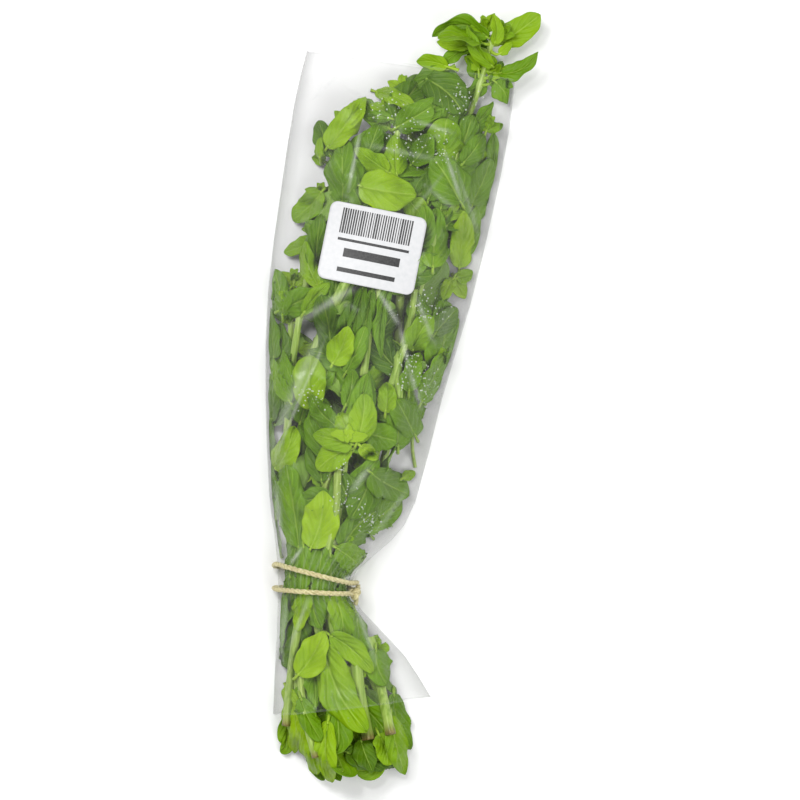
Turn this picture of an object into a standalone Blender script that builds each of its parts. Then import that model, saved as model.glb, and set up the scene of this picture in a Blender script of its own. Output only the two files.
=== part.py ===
"""A tied bunch of cut mint in a clear film sleeve, lying on a table. Metres, +Z up.

+Y runs from the cut ends to the leafy tips, +X is the wide side of the sleeve, and the origin
is on the table under the middle of the whole object. The dimensions below are millimetres in
the bunch's own frame; each piece is scaled to metres as it is made, and the empty that carries
them all moves their middle to the origin.

Nine sprigs run through the sleeve. A sprig is a square stem with pairs of opposite leaves, and
a pair is one strip that crosses the stem: blade, petiole, saddle, petiole, blade. Each leaf
leans from its nominal direction until it is clear of everything placed before it, as a leaf
pressed into a sleeve does.
"""

import math
import random

import bmesh
import bpy
from mathutils import Matrix, Vector
from mathutils.bvhtree import BVHTree

MM = 0.001
CLEARANCE = 0.3  # left between pieces that touch
UP = Vector((0, 0, 1))

# Sleeve: a flat tube of film, drawn in at the tie. Each section is a low flat edge on either
# side and a rounded hump over the sprigs: y, rise of y per x, left edge, right edge, hump's
# left foot, hump's right foot, underside, top.
FILM_WALL = 0.35
FILM_EDGE = 2.0  # both layers together, where the sleeve is empty
SLEEVE_SECTIONS = (
    (-103.5, 0.11, -43.7, 9.3, -41.5, 4.0, 0.0, 19.0),
    (-88.0, 0.06, -43.0, 0.5, -41.5, -3.0, 0.0, 19.5),
    (-76.0, 0.0, -42.3, -9.5, -41.2, -12.0, 2.2, 20.0),
    (-66.0, -0.1, -42.0, -16.6, -41.5, -17.1, 3.0, 20.8),
    (-57.0, -0.1, -42.2, -15.8, -41.7, -16.3, 3.0, 22.2),
    (-46.0, -0.1, -43.5, -4.0, -42.2, -8.0, 2.2, 24.5),
    (-34.0, -0.05, -45.0, 4.0, -43.5, -1.5, 0.0, 27.0),
    (0.0, -0.02, -46.3, 13.0, -44.8, 10.0, 0.0, 29.0),
    (33.0, -0.06, -45.5, 22.5, -44.0, 20.0, 0.0, 29.5),
    (66.0, -0.12, -41.0, 30.0, -38.0, 28.0, 0.0, 28.0),
    (94.0, -0.14, -36.5, 35.5, -31.0, 33.5, 0.0, 22.0),
    (111.5, -0.145, -32.3, 37.5, -20.0, 35.5, 0.0, 17.0),
)
SECTION_STEPS = 2  # rings for each section above
HUMP_POINTS = 8
UNDER_POINTS = 8

# Label: a plain sticker on the hump.
LABEL_SIZE = (32.0, 25.5)
LABEL_CORNER = 2.6
LABEL_MIDDLE = (-10.3, 49.6)
LABEL_TURN = math.radians(-10)
LABEL_THICKNESS = 0.25
LABEL_LIFT = 0.7  # clears the facets of the hump

# Twine: one cord wound twice round the neck, its ends held by a small knot on the right.
TWINE_RADIUS = 0.85
TWINE_POINTS = 36  # for each turn
TWINE_SLACK = 0.4  # room for the corners of the neck's section
TWINE_Y_LEFT = (-55.6, -64.0)  # where each turn crosses the neck's left side
TWINE_Y_RIGHT = (-61.9, -65.4)
KNOT_RADII = (1.5, 2.0, 1.6)

# Sprigs: the stem's route from its cut end to its tip, and where its leaf pairs sit, as
# shares of its length. The last name says how the top pair stands.
STEM_RADIUS = 1.55
STEM_TIP_SHARE = 0.55
STEM_STEP = 11.0
SPRIGS = (
    (
        ((-10.3, -113, 9), (-22.5, -61, 11.5), (-12, -30, 14), (-4, 3, 17), (8, 45, 18),
         (19, 85, 13), (25.5, 104, 8), (30, 121, 12)),
        (0.07, 0.36, 0.55, 0.72, 0.86, 0.93, 0.985),
        "open",
    ),
    (
        ((-35.5, -108.5, 7.5), (-34, -61, 11.5), (-38, -30, 14), (-38, 0, 15), (-33, 35, 17),
         (-25, 65, 15), (-20.5, 87, 12)),
        (0.06, 0.38, 0.54, 0.69, 0.83, 0.96),
        "closed",
    ),
    (
        ((-19, -116.5, 12), (-31, -61, 16.5), (-27, -35, 20), (-18, 0, 22), (-9, 45, 21),
         (-3, 80, 16), (-1, 98, 11)),
        (0.04, 0.38, 0.54, 0.69, 0.83, 0.96),
        "closed",
    ),
    (
        ((-3.5, -109.5, 7), (-22.5, -61, 6.5), (-11, -35, 5), (-1, 0, 5), (10, 45, 6),
         (20, 70, 7), (26, 85, 8)),
        (0.08, 0.38, 0.54, 0.69, 0.83, 0.96),
        "closed",
    ),
    (
        ((-24, -112, 5), (-26, -61, 6), (-22, -35, 6.5), (-12, 0, 7), (-2, 45, 7), (10, 90, 7)),
        (0.05, 0.38, 0.54, 0.69, 0.83, 0.96),
        "closed",
    ),
    (
        ((-16.5, -110, 14), (-26, -61, 16.5), (-22.5, -45, 19.5), (-20, -28, 22), (-18.5, -15, 24)),
        (0.12, 0.64, 0.82, 0.97),
        "open",
    ),
    (
        ((-30, -119.5, 5), (-36.5, -61, 6.5), (-39, -35, 6.5), (-39, -10, 7), (-38, 15, 8),
         (-37, 33, 9)),
        (0.05, 0.50, 0.74, 0.95),
        "closed",
    ),
    (
        ((-12.5, -118, 4.5), (-28, -61, 11.5), (-20, -42, 10.2), (-10, -20, 10.5), (0, -3, 11),
         (6, 10, 11.5)),
        (0.08, 0.60, 0.79, 0.96),
        "closed",
    ),
    (
        ((-27.5, -114, 4.5), (-31.5, -61, 6), (-32, -35, 7), (-31, 0, 7.5), (-26, 30, 8),
         (-27, 62, 9)),
        (0.13, 0.48, 0.72, 0.95),
        "closed",
    ),
)

# Leaves: smaller towards the tip, lying along the stem above the tie and back along it below.
LEAF_THICKNESS = 0.5
LEAF_LENGTH = (13.0, 29.0)  # at the tip, and well below it
LEAF_GROWTH = 26.0  # distance from the tip over which leaves come to their full length
LEAF_WIDTH_SHARE = 0.54
LEAF_ROWS = ((0.1, 0.1), (0.42, 0.98), (0.74, 0.74))  # share of the length, share of the half width
LEAF_FOLD = 0.22  # rise of the edges, as a share of the half width
SADDLE_HALF_WIDTH = 0.9
PETIOLE_REACH = 1.7
HALF_LENGTH = 129.0  # no leaf reaches further from the middle, along Y
LEFT_LIMIT = -44.0
TIE_Y = -62.0
ANGLE_ABOVE_TIE = math.radians(42)
ANGLE_BELOW_TIE = math.radians(148)
ANGLE_OPEN_TIP = math.radians(58)
PAIR_ROLL = math.radians(32)
SHARPEST_FOLD = math.radians(95)
PAIR_TRIES = 120
LEAF_TRIES = 60
SEED = 27


# Small geometry helpers


def catmull_rom(points, steps):
    """The points of a smooth curve through the given ones, with steps pieces between each two."""
    rows = [tuple(2 * a - b for a, b in zip(points[0], points[1])), *points]
    rows.append(tuple(2 * a - b for a, b in zip(points[-1], points[-2])))
    smooth = []
    for i in range(1, len(rows) - 2):
        for k in range(steps):
            t = k / steps
            smooth.append(
                tuple(
                    0.5 * (2 * b + (c - a) * t + (2 * a - 5 * b + 4 * c - d) * t**2
                           + (3 * b - a - 3 * c + d) * t**3)
                    for a, b, c, d in zip(*rows[i - 1 : i + 3])
                )
            )
    return [*smooth, points[-1]]


def evenly_spaced(points, step):
    """The polyline through the points again, with points about step apart."""
    lengths = [0.0]
    for a, b in zip(points, points[1:]):
        lengths.append(lengths[-1] + (Vector(b) - Vector(a)).length)
    count = max(2, round(lengths[-1] / step))
    return [point_at(points, lengths, lengths[-1] * k / count) for k in range(count + 1)]


def point_at(points, lengths, distance):
    for i in range(1, len(points)):
        if distance <= lengths[i] or i == len(points) - 1:
            share = (distance - lengths[i - 1]) / (lengths[i] - lengths[i - 1])
            return Vector(points[i - 1]).lerp(Vector(points[i]), share)


def across(direction, wanted):
    """The unit vector nearest to wanted that stands square to direction."""
    return (wanted - direction * wanted.dot(direction)).normalized()


# Materials and objects


def make_material(name, colour, roughness, alpha=1.0):
    material = bpy.data.materials.new(name)
    material.use_nodes = True
    shader = material.node_tree.nodes["Principled BSDF"]
    shader.inputs["Base Color"].default_value = (*colour, 1)
    shader.inputs["Roughness"].default_value = roughness
    shader.inputs["Metallic"].default_value = 0
    shader.inputs["Alpha"].default_value = alpha
    return material


def add_object(name, data, material, bunch):
    obj = bpy.data.objects.new(name, data)
    bpy.data.collections["mint_bunch"].objects.link(obj)
    data.materials.append(material)
    obj.parent = bunch
    return obj


def grid_mesh(name, rows, weld):
    """A mesh grid laid through rows of points in millimetres, with coinciding points welded."""
    shape = bmesh.new()
    bmesh.ops.create_grid(shape, x_segments=len(rows[0]) - 1, y_segments=len(rows) - 1)
    points = [point for row in rows for point in row]
    for vertex, point in zip(shape.verts, points):
        vertex.co = Vector(point) * MM
    bmesh.ops.remove_doubles(shape, verts=shape.verts, dist=weld * MM)
    bmesh.ops.recalc_face_normals(shape, faces=shape.faces)
    mesh = bpy.data.meshes.new(name)
    shape.to_mesh(mesh)
    shape.free()
    mesh.shade_smooth()
    return mesh


def tube(name, points, radii, sides_resolution, material, bunch):
    """A curve object with round ends closed, through points in millimetres."""
    curve = bpy.data.curves.new(name, "CURVE")
    curve.dimensions = "3D"
    curve.bevel_depth = MM
    curve.bevel_resolution = sides_resolution
    curve.use_fill_caps = True
    line = curve.splines.new("POLY")
    line.points.add(len(points) - 1)
    for target, point, radius in zip(line.points, points, radii):
        target.co = (*(Vector(point) * MM), 1)
        target.radius = radius
    return add_object(name, curve, material, bunch)


class Obstacles:
    """The surfaces that a new leaf must stay clear of, in millimetres."""

    def __init__(self):
        self.trees = []

    def add_object(self, obj):
        bpy.context.view_layer.update()
        evaluated = obj.evaluated_get(bpy.context.evaluated_depsgraph_get())
        mesh = evaluated.to_mesh()
        points = [vertex.co / MM for vertex in mesh.vertices]
        self.trees.append(BVHTree.FromPolygons(points, [tuple(p.vertices) for p in mesh.polygons]))
        evaluated.to_mesh_clear()
        return self.trees[-1]

    def clear_of(self, solid, but_not=None):
        points, faces = solid
        if min(point.z for point in points) < CLEARANCE:
            return False
        if max(abs(point.y) for point in points) > HALF_LENGTH:
            return False
        if min(point.x for point in points) < LEFT_LIMIT:
            return False
        tree = BVHTree.FromPolygons(points, faces)
        return not any(other.overlap(tree) for other in self.trees if other is not but_not)


# Sleeve


def sleeve_ring(section, inset, wall):
    """One closed ring of the sleeve: over the hump from left to right, then back underneath."""
    y, slope, left, right, foot_left, foot_right, underside, top = section
    middle = (left + right) / 2
    hump_middle = (foot_left + foot_right) / 2
    hump_half = (foot_right - foot_left) / 2 - inset
    left, right = left + inset, right - inset
    underside = max(underside, 0)
    low, edge, high = underside + wall, underside + FILM_EDGE - wall, top - wall
    ring = [(left, underside + FILM_EDGE / 2)]
    ring.append(((left + hump_middle - hump_half) / 2, edge - 0.1))
    for k in range(HUMP_POINTS + 1):
        u = -math.cos(math.pi * k / HUMP_POINTS)
        rise = (1 - abs(u) ** 2.6) ** 0.55 if abs(u) < 1 else 0
        ring.append((hump_middle + hump_half * u, edge + (high - edge) * rise))
    ring.append(((right + hump_middle + hump_half) / 2, edge - 0.1))
    ring.append((right, underside + FILM_EDGE / 2))
    for k in range(1, UNDER_POINTS):
        ring.append((right + (left - right) * k / UNDER_POINTS, low))
    ring.append(ring[0])
    return [(x, y + slope * (x - middle), z) for x, z in ring]


def make_sleeve(material, bunch):
    sections = catmull_rom(SLEEVE_SECTIONS, SECTION_STEPS)
    outside = [sleeve_ring(section, 0, 0) for section in sections]
    inside = [sleeve_ring(section, 3 * FILM_WALL, FILM_WALL) for section in sections]
    mesh = grid_mesh("sleeve", [*outside, *reversed(inside), outside[0]], 0.01)
    return add_object("sleeve", mesh, material, bunch)


# Label


def make_label(sleeve_tree, material, bunch):
    """A rounded sticker, laid on the film by a drop from each of its points."""
    width, height = LABEL_SIZE
    shape = bmesh.new()
    bmesh.ops.create_grid(shape, x_segments=14, y_segments=8, size=1)
    for vertex in shape.verts:
        vertex.co = (vertex.co.x * width / 2, vertex.co.y * height / 2, 0)
    corners = [v for v in shape.verts if len(v.link_edges) == 2]
    bmesh.ops.bevel(
        shape, geom=corners, offset=LABEL_CORNER, segments=3, profile=0.5, affect="VERTICES"
    )
    turn = Matrix.Rotation(LABEL_TURN, 3, "Z")
    for vertex in shape.verts:
        place = turn @ vertex.co + Vector((*LABEL_MIDDLE, 0))
        top = sleeve_tree.ray_cast(place + UP * 100, -UP)[0].z
        vertex.co = (place + UP * (top + LABEL_LIFT)) * MM
    bmesh.ops.recalc_face_normals(shape, faces=shape.faces)
    mesh = bpy.data.meshes.new("label")
    shape.to_mesh(mesh)
    shape.free()
    label = add_object("label", mesh, material, bunch)
    solidify = label.modifiers.new("thickness", "SOLIDIFY")
    solidify.thickness = LABEL_THICKNESS * MM
    solidify.offset = 0
    return label


# Twine


def neck_point(sleeve_tree, angle, y):
    """Where the cord lies on the film at this angle round the neck; 0 is to the right."""
    middle = Vector((-29.2, y, 12.0))
    outward = Vector((math.cos(angle), 0, math.sin(angle)))
    film, normal, _, _ = sleeve_tree.ray_cast(middle + outward * 60, -outward)
    slant = max(0.55, normal.dot(outward))
    return film + outward * (TWINE_RADIUS + CLEARANCE + TWINE_SLACK) / slant


def twine_route(sleeve_tree):
    """Down from the knot, twice round by the underside and the left, and back to the knot."""
    gap = math.radians(9)  # from the knot's middle to either end of the cord
    route = []
    total = 2 * TWINE_POINTS
    for k in range(total + 1):
        turned = gap + (4 * math.pi - 2 * gap) * k / total
        turn = min(1, int(turned / (2 * math.pi)))
        share = turned / (2 * math.pi) - turn
        # Each turn starts at the right, reaches the left half way, and ends at the right.
        if share < 0.5:
            y_from = (TWINE_Y_RIGHT[1], TWINE_Y_RIGHT[0])[turn]
            y, blend = (y_from, TWINE_Y_LEFT[turn]), share * 2
        else:
            y, blend = (TWINE_Y_LEFT[turn], TWINE_Y_RIGHT[turn]), share * 2 - 1
        blend = blend * blend * (3 - 2 * blend)
        route.append(neck_point(sleeve_tree, -turned, y[0] + (y[1] - y[0]) * blend))
    return route


def make_twine(sleeve_tree, material, bunch):
    route = twine_route(sleeve_tree)
    radii = [TWINE_RADIUS] * len(route)
    twine = tube("twine", route, radii, 1, material, bunch)
    middle = neck_point(sleeve_tree, 0, TWINE_Y_RIGHT[1])
    shape = bmesh.new()
    bmesh.ops.create_uvsphere(shape, u_segments=10, v_segments=6, radius=MM)
    for vertex in shape.verts:
        rounded = Vector([a * b for a, b in zip(vertex.co, KNOT_RADII)])
        vertex.co = rounded + (middle + Vector((0.5, 0, 0))) * MM
    mesh = bpy.data.meshes.new("twine_knot")
    shape.to_mesh(mesh)
    shape.free()
    mesh.shade_smooth()
    knot = add_object("twine_knot", mesh, material, bunch)
    return twine, knot


# Sprigs


def make_stem(name, route, material, bunch):
    points = evenly_spaced(catmull_rom(route, 8), STEM_STEP)
    last = len(points) - 1
    radii = [STEM_RADIUS * (1 + (STEM_TIP_SHARE - 1) * k / last) for k in range(last + 1)]
    return tube(name, points, radii, 0, material, bunch), points, radii


def leaf_rows(start, direction, face, length, bend):
    """The rows of a leaf from its petiole to its tip. It bends towards the side it faces."""
    width_way = face.cross(direction)
    half_width = length * LEAF_WIDTH_SHARE / 2
    rows = []
    for share, width_share in (*LEAF_ROWS, (1.0, 0.0)):
        turned = bend * share
        forward = length * (math.sin(turned) / bend)
        upward = length * ((1 - math.cos(turned)) / bend)
        middle = start + direction * forward + face * upward
        rise = face * math.cos(turned) - direction * math.sin(turned)
        half = width_way * half_width * width_share
        lift = rise * LEAF_FOLD * half.length
        rows.append((middle - half + lift, middle, middle + half + lift))
    return rows


def thick_strip(rows, half_thickness):
    """Points and faces of a closed solid about a strip of rows, to test it for room."""
    points, faces = [], []
    for i, row in enumerate(rows):
        along = rows[min(i + 1, len(rows) - 1)][1] - rows[max(i - 1, 0)][1]
        side = row[2] - row[0]
        if side.length < 0.1:
            side = rows[i - 1][2] - rows[i - 1][0]
        normal = side.cross(along).normalized() * half_thickness
        widen = side.normalized() * CLEARANCE
        grown = (row[0] - widen, row[1], row[2] + widen)
        points += [p + normal for p in grown] + [p - normal for p in grown]
    for i in range(len(rows) - 1):
        a, b = 6 * i, 6 * (i + 1)
        for k, step in ((0, 1), (1, 1), (3, 1), (4, 1), (0, 3), (2, 3)):
            faces.append((a + k, a + k + step, b + k + step, b + k))
    end = 6 * (len(rows) - 1)
    faces += [(0, 1, 4, 3), (1, 2, 5, 4), (end, end + 1, end + 4, end + 3)]
    faces.append((end + 1, end + 2, end + 5, end + 4))
    return points, faces


def folds_over(rows):
    """True if two neighbouring facets of a strip turn by more than the sharpest fold allowed."""
    columns = []
    for k in (0, 1):
        facets = []
        for a, b in zip(rows, rows[1:]):
            for p, q, r in ((a[k], a[k + 1], b[k + 1]), (a[k], b[k + 1], b[k])):
                facets.append((q - p).cross(r - p))
        columns.append(facets)
    pairs = list(zip(*columns))
    for facets in columns:
        pairs += zip(facets, facets[1:])
    return any(m.length and n.length and m.angle(n) > SHARPEST_FOLD for m, n in pairs)


def grow_leaf(start, direction, outward, length, open_tip, obstacles, chance):
    """A leaf that starts nearly as asked, and leans, turns and shrinks until it has room."""
    half = LEAF_THICKNESS / 2 + CLEARANCE
    for attempt in range(LEAF_TRIES):
        loose = attempt / LEAF_TRIES
        spin = Matrix.Rotation(chance.gauss(0, 0.1 + 0.7 * loose), 3, "Z")
        heading = spin @ direction
        heading.z = heading.z * (1 - 0.5 * loose) + chance.gauss(0, 0.05 + 0.4 * loose)
        heading.normalize()
        tilt = 0.5 if open_tip else 0.2 + 0.5 * loose
        face = across(heading, UP + outward * -0.1 + Vector([chance.gauss(0, tilt) for _ in "xyz"]))
        bend = chance.choice((-1, 1)) * (0.15 + abs(chance.gauss(0, 0.35)))
        size = length * (1 - 0.5 * loose)
        rows = leaf_rows(start, heading, face, size, bend)
        if obstacles.clear_of(thick_strip(rows, half)):
            return rows
    return None


def grow_pair(points, radii, share, leaf_length, order, open_tip, stem_tree, obstacles, chance):
    """Both leaves of a pair, as rows from one tip over the stem's saddle to the other tip."""
    lengths = [0.0]
    for a, b in zip(points, points[1:]):
        lengths.append(lengths[-1] + (b - a).length)
    for attempt in range(PAIR_TRIES):
        loose = attempt / PAIR_TRIES
        distance = lengths[-1] * share + chance.gauss(0, 0.3 + 6 * loose)
        distance = min(max(distance, 5.0), lengths[-1] - 1.5)
        foot = point_at(points, lengths, distance)
        ahead = (point_at(points, lengths, min(distance + 2, lengths[-1])) - foot).normalized()
        radius = radii[0] + (radii[-1] - radii[0]) * distance / lengths[-1]
        roll = PAIR_ROLL * (1, -1)[order % 2] + chance.gauss(0, 0.1 + 1.2 * loose)
        side = Matrix.Rotation(roll, 3, ahead) @ across(ahead, ahead.cross(UP))
        saddle_way = ahead.cross(side) * (1, -1)[(order // 2) % 2]
        reach = radius + LEAF_THICKNESS / 2 + CLEARANCE + 0.15
        half = ahead * SADDLE_HALF_WIDTH
        if side.cross(saddle_way).dot(ahead) > 0:
            half = -half
        saddle_middle = foot + saddle_way * reach
        if open_tip:
            angle = ANGLE_OPEN_TIP
        else:
            angle = ANGLE_ABOVE_TIE if foot.y > TIE_Y - 6 else ANGLE_BELOW_TIE
        leaves = []
        for way in (side, -side):
            lean = angle + chance.gauss(0, 0.15)
            direction = (ahead * math.cos(lean) + way * math.sin(lean)).normalized()
            start = foot + way * (radius + PETIOLE_REACH) + saddle_way * radius * 0.8
            size = leaf_length * chance.uniform(0.9, 1.06) * (1 - 0.3 * loose)
            leaf = grow_leaf(start, direction, way, size, open_tip, obstacles, chance)
            if leaf is None:
                break
            leaves.append(leaf)
        if len(leaves) < 2:
            continue
        rows = join_leaves(leaves, saddle_middle, half)
        if folds_over(rows):
            continue
        middle_rows = rows[3:6]
        saddle = thick_strip(middle_rows, LEAF_THICKNESS / 2 + CLEARANCE)
        own = thick_strip(middle_rows, LEAF_THICKNESS / 2 + 0.1)
        if obstacles.clear_of(saddle, but_not=stem_tree) and obstacles.clear_of(own):
            return rows
    return None


def join_leaves(leaves, middle, half):
    """Runs the second leaf's rows backwards after the first's, turned so that no strip twists."""
    first = leaves[0]
    if (first[0][2] - first[0][0]).dot(half) < 0:
        first = [row[::-1] for row in first]
    second = leaves[1]
    if (second[0][2] - second[0][0]).dot(half) < 0:
        second = [row[::-1] for row in second]
    saddle = (middle - half, middle, middle + half)
    return [*reversed(first), saddle, *second]


def make_pair(name, rows, material, bunch):
    mesh = grid_mesh(name, rows, 0.01)
    pair = add_object(name, mesh, material, bunch)
    solidify = pair.modifiers.new("thickness", "SOLIDIFY")
    solidify.thickness = LEAF_THICKNESS * MM
    solidify.offset = 0
    return pair


def make_sprigs(leaf_material, stem_material, bunch, obstacles):
    chance = random.Random(SEED)
    stems = []
    for number, (route, shares, top) in enumerate(SPRIGS, 1):
        stem, points, radii = make_stem(f"sprig_{number}_stem", route, stem_material, bunch)
        stems.append((number, points, radii, shares, top, obstacles.add_object(stem)))
    # The lowest pairs of every sprig grow first, then the next ones up.
    longest = max(len(sprig[3]) for sprig in stems)
    for order in range(longest):
        for number, points, radii, shares, top, tree in stems:
            if order >= len(shares):
                continue
            stem_length = sum((b - a).length for a, b in zip(points, points[1:]))
            below_tip = stem_length * (1 - shares[order])
            small, full = LEAF_LENGTH
            size = small + (full - small) * (1 - math.exp(-below_tip / LEAF_GROWTH))
            open_tip = top == "open" and order >= len(shares) - 2
            if open_tip:
                size += 4
            rows = grow_pair(points, radii, shares[order], size, order, open_tip, tree, obstacles, chance)
            if rows is None:
                print("no room for pair", order + 1, "of sprig", number)
                continue
            pair = make_pair(f"sprig_{number}_leaf_pair_{order + 1}", rows, leaf_material, bunch)
            obstacles.add_object(pair)


def centre_on_origin(bunch):
    """Moves the carrying empty so that the box round all the pieces stands on the origin."""
    bpy.context.view_layer.update()
    graph = bpy.context.evaluated_depsgraph_get()
    corners = []
    for obj in bpy.data.collections["mint_bunch"].objects:
        if obj.type != "EMPTY":
            evaluated = obj.evaluated_get(graph)
            mesh = evaluated.to_mesh()
            corners += [evaluated.matrix_world @ vertex.co for vertex in mesh.vertices]
            evaluated.to_mesh_clear()
    low = [min(corner[axis] for corner in corners) for axis in range(3)]
    high = [max(corner[axis] for corner in corners) for axis in range(3)]
    bunch.location = (-(low[0] + high[0]) / 2, -(low[1] + high[1]) / 2, -low[2])


def main():
    for obj in list(bpy.data.objects):
        bpy.data.objects.remove(obj)
    collection = bpy.data.collections.new("mint_bunch")
    bpy.context.scene.collection.children.link(collection)
    bunch = bpy.data.objects.new("bunch", None)
    collection.objects.link(bunch)

    leaf_material = make_material("mint_leaf", (0.16, 0.36, 0.03), 0.5)
    stem_material = make_material("mint_stem", (0.36, 0.55, 0.12), 0.45)
    film_material = make_material("clear_film", (0.9, 0.9, 0.9), 0.1, alpha=0.25)
    label_material = make_material("label_paper", (0.85, 0.85, 0.85), 0.6)
    twine_material = make_material("twine", (0.66, 0.58, 0.34), 0.8)

    obstacles = Obstacles()
    sleeve_tree = obstacles.add_object(make_sleeve(film_material, bunch))
    make_label(sleeve_tree, label_material, bunch)
    make_twine(sleeve_tree, twine_material, bunch)
    make_sprigs(leaf_material, stem_material, bunch, obstacles)
    centre_on_origin(bunch)


main()
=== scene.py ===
import math

import bmesh
import bpy
import numpy as np
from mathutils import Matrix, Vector
from mathutils.bvhtree import BVHTree


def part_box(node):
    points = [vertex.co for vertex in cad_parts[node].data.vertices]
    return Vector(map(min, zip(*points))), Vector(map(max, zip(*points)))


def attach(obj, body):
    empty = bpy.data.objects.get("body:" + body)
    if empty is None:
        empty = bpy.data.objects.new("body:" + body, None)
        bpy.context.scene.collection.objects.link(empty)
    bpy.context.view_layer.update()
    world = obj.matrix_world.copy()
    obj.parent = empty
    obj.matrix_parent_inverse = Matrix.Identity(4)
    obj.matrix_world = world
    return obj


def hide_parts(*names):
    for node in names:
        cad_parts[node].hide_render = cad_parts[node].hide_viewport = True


# A tied bunch of mint in a clear film sleeve, lying on a pale table, seen from above.
# Shapes are worked out in millimetres and become metres when a mesh is made.

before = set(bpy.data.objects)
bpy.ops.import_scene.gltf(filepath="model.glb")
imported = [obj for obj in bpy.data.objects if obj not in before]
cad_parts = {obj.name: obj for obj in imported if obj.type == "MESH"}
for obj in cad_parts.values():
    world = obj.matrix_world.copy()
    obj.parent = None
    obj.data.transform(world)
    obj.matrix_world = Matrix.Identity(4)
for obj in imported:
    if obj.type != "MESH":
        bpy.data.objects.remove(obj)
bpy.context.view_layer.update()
mm = 0.001
up = np.array([0.0, 0.0, 1.0])
chance = np.random.default_rng(12)
sprigCount = 9

studio = {
    "lens": 250,
    "fieldWidth": 266.7,  # what the camera sees across, at the height of the upper leaves
    "fieldHeight": 14,
    "middle": (-0.9, -0.8),
    "floorSize": 3000,
    "worldLight": 0.36,
    "keyPower": 7.6,
    "keySize": 0.45,
    "fillSize": 0.9,
    "glintPower": 2.2,
    "glintSize": 0.12,
}

bpy.context.scene.view_settings.view_transform = "Standard"


def addObject(name, data):
    thing = bpy.data.objects.new(name, data)
    bpy.context.scene.collection.objects.link(thing)
    return thing


def makeCamera():
    data = bpy.data.cameras.new("camera")
    data.lens = studio["lens"]
    camera = addObject("camera", data)
    distance = studio["fieldWidth"] * data.lens / data.sensor_width
    x, y = studio["middle"]
    camera.location = Vector((x, y, distance + studio["fieldHeight"])) * mm
    bpy.context.scene.camera = camera


makeCamera()


# Small tools for points held as numpy arrays.


def unit(vectors):
    length = np.linalg.norm(vectors, axis=-1, keepdims=True)
    return vectors / np.maximum(length, 1e-9)


def smoothLine(points, step):
    # a Catmull-Rom curve through the points, with a point about every step
    points = np.asarray(points, float)
    ends = [2 * points[0] - points[1], *points, 2 * points[-1] - points[-2]]
    line = []
    for a, b, c, d in zip(ends, ends[1:], ends[2:], ends[3:]):
        count = max(1, round(float(np.linalg.norm(c - b)) / step))
        square, cube = 2 * a - 5 * b + 4 * c - d, 3 * b - a - 3 * c + d
        for t in np.arange(count) / count:
            line.append(0.5 * (2 * b + (c - a) * t + square * t**2 + cube * t**3))
    return np.array([*line, points[-1]])


def gridFaces(rows, columns, start=0):
    i, j = np.meshgrid(np.arange(rows - 1), np.arange(columns - 1), indexing="ij")
    corner = start + i * columns + j
    return np.stack([corner, corner + 1, corner + columns + 1, corner + columns], -1).reshape(-1, 4)


def slabFaces(rows, columns):
    # the faces of two grids of points, one over the other, and of the rim between them
    count = rows * columns
    edge = np.concatenate([
        np.arange(columns),
        np.arange(1, rows) * columns + columns - 1,
        (rows - 1) * columns + np.arange(columns - 2, -1, -1),
        np.arange(rows - 2, -1, -1) * columns,
    ])
    rim = np.stack([edge[:-1], edge[:-1] + count, edge[1:] + count, edge[1:]], -1)
    under = gridFaces(rows, columns, count)[:, ::-1]
    return np.concatenate([gridFaces(rows, columns), under, rim])


def tubeShape(line, radii, sides=6, square=0.0):
    # a closed tube round a line; square bulges its corners, as on a mint stem
    tangents = unit(np.gradient(line, axis=0))
    side = unit(np.cross(tangents[0], up) + 1e-6)
    angles = np.arange(sides) / sides * 2 * math.pi
    bulge = 1 + square * np.cos(4 * angles)
    rings = []
    for point, tangent, radius in zip(line, tangents, radii):
        side = unit(side - tangent * (side @ tangent))
        rise = np.cross(side, tangent)
        reach = radius * bulge
        sideways = np.outer(np.cos(angles) * reach, side)
        upward = np.outer(np.sin(angles) * reach, rise)
        rings.append(point + sideways + upward)
    points = np.concatenate([*rings, [line[0]], [line[-1]]])
    k, j = np.meshgrid(np.arange(len(line) - 1), np.arange(sides), indexing="ij")
    a, b = k * sides + j, k * sides + (j + 1) % sides
    faces = np.stack([a, a + sides, b + sides, b], -1).reshape(-1, 4).tolist()
    first, last, end = len(points) - 2, len(points) - 1, (len(line) - 1) * sides
    faces += [[first, j, (j + 1) % sides] for j in range(sides)]
    faces += [[last, end + (j + 1) % sides, end + j] for j in range(sides)]
    return points, faces


def makeMesh(name, shapes, material, smooth=True):
    # shapes are dictionaries of points, faces, uv and any point values, joined into one mesh
    values = [key for key in shapes[0] if key not in ("points", "faces", "uv")]
    faces, start = [], 0
    for shape in shapes:
        faces += [[int(k) + start for k in face] for face in shape["faces"]]
        start += len(shape["points"])
    points = np.concatenate([shape["points"] for shape in shapes])
    mesh = bpy.data.meshes.new(name)
    mesh.from_pydata((points * mm).tolist(), [], faces)
    for key in values:
        layer = mesh.attributes.new(key, "FLOAT", "POINT")
        data = [np.broadcast_to(shape[key], len(shape["points"])) for shape in shapes]
        layer.data.foreach_set("value", np.concatenate(data).astype(np.float32))
    if "uv" in shapes[0]:
        corner = np.empty(len(mesh.loops), np.int32)
        mesh.loops.foreach_get("vertex_index", corner)
        uv = np.concatenate([shape["uv"] for shape in shapes])[corner]
        mesh.uv_layers.new(name="UVMap").uv.foreach_set("vector", uv.astype(np.float32).ravel())
    if smooth:
        mesh.shade_smooth()
    mesh.materials.append(material)
    return mesh


def makePiece(name, shapes, material, replaced=()):
    piece = addObject(name, makeMesh(name, shapes, material))
    finishPiece(piece, replaced)
    return piece


def finishPiece(piece, replaced=()):
    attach(piece, "root")
    if replaced:
        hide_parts(*replaced)


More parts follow.
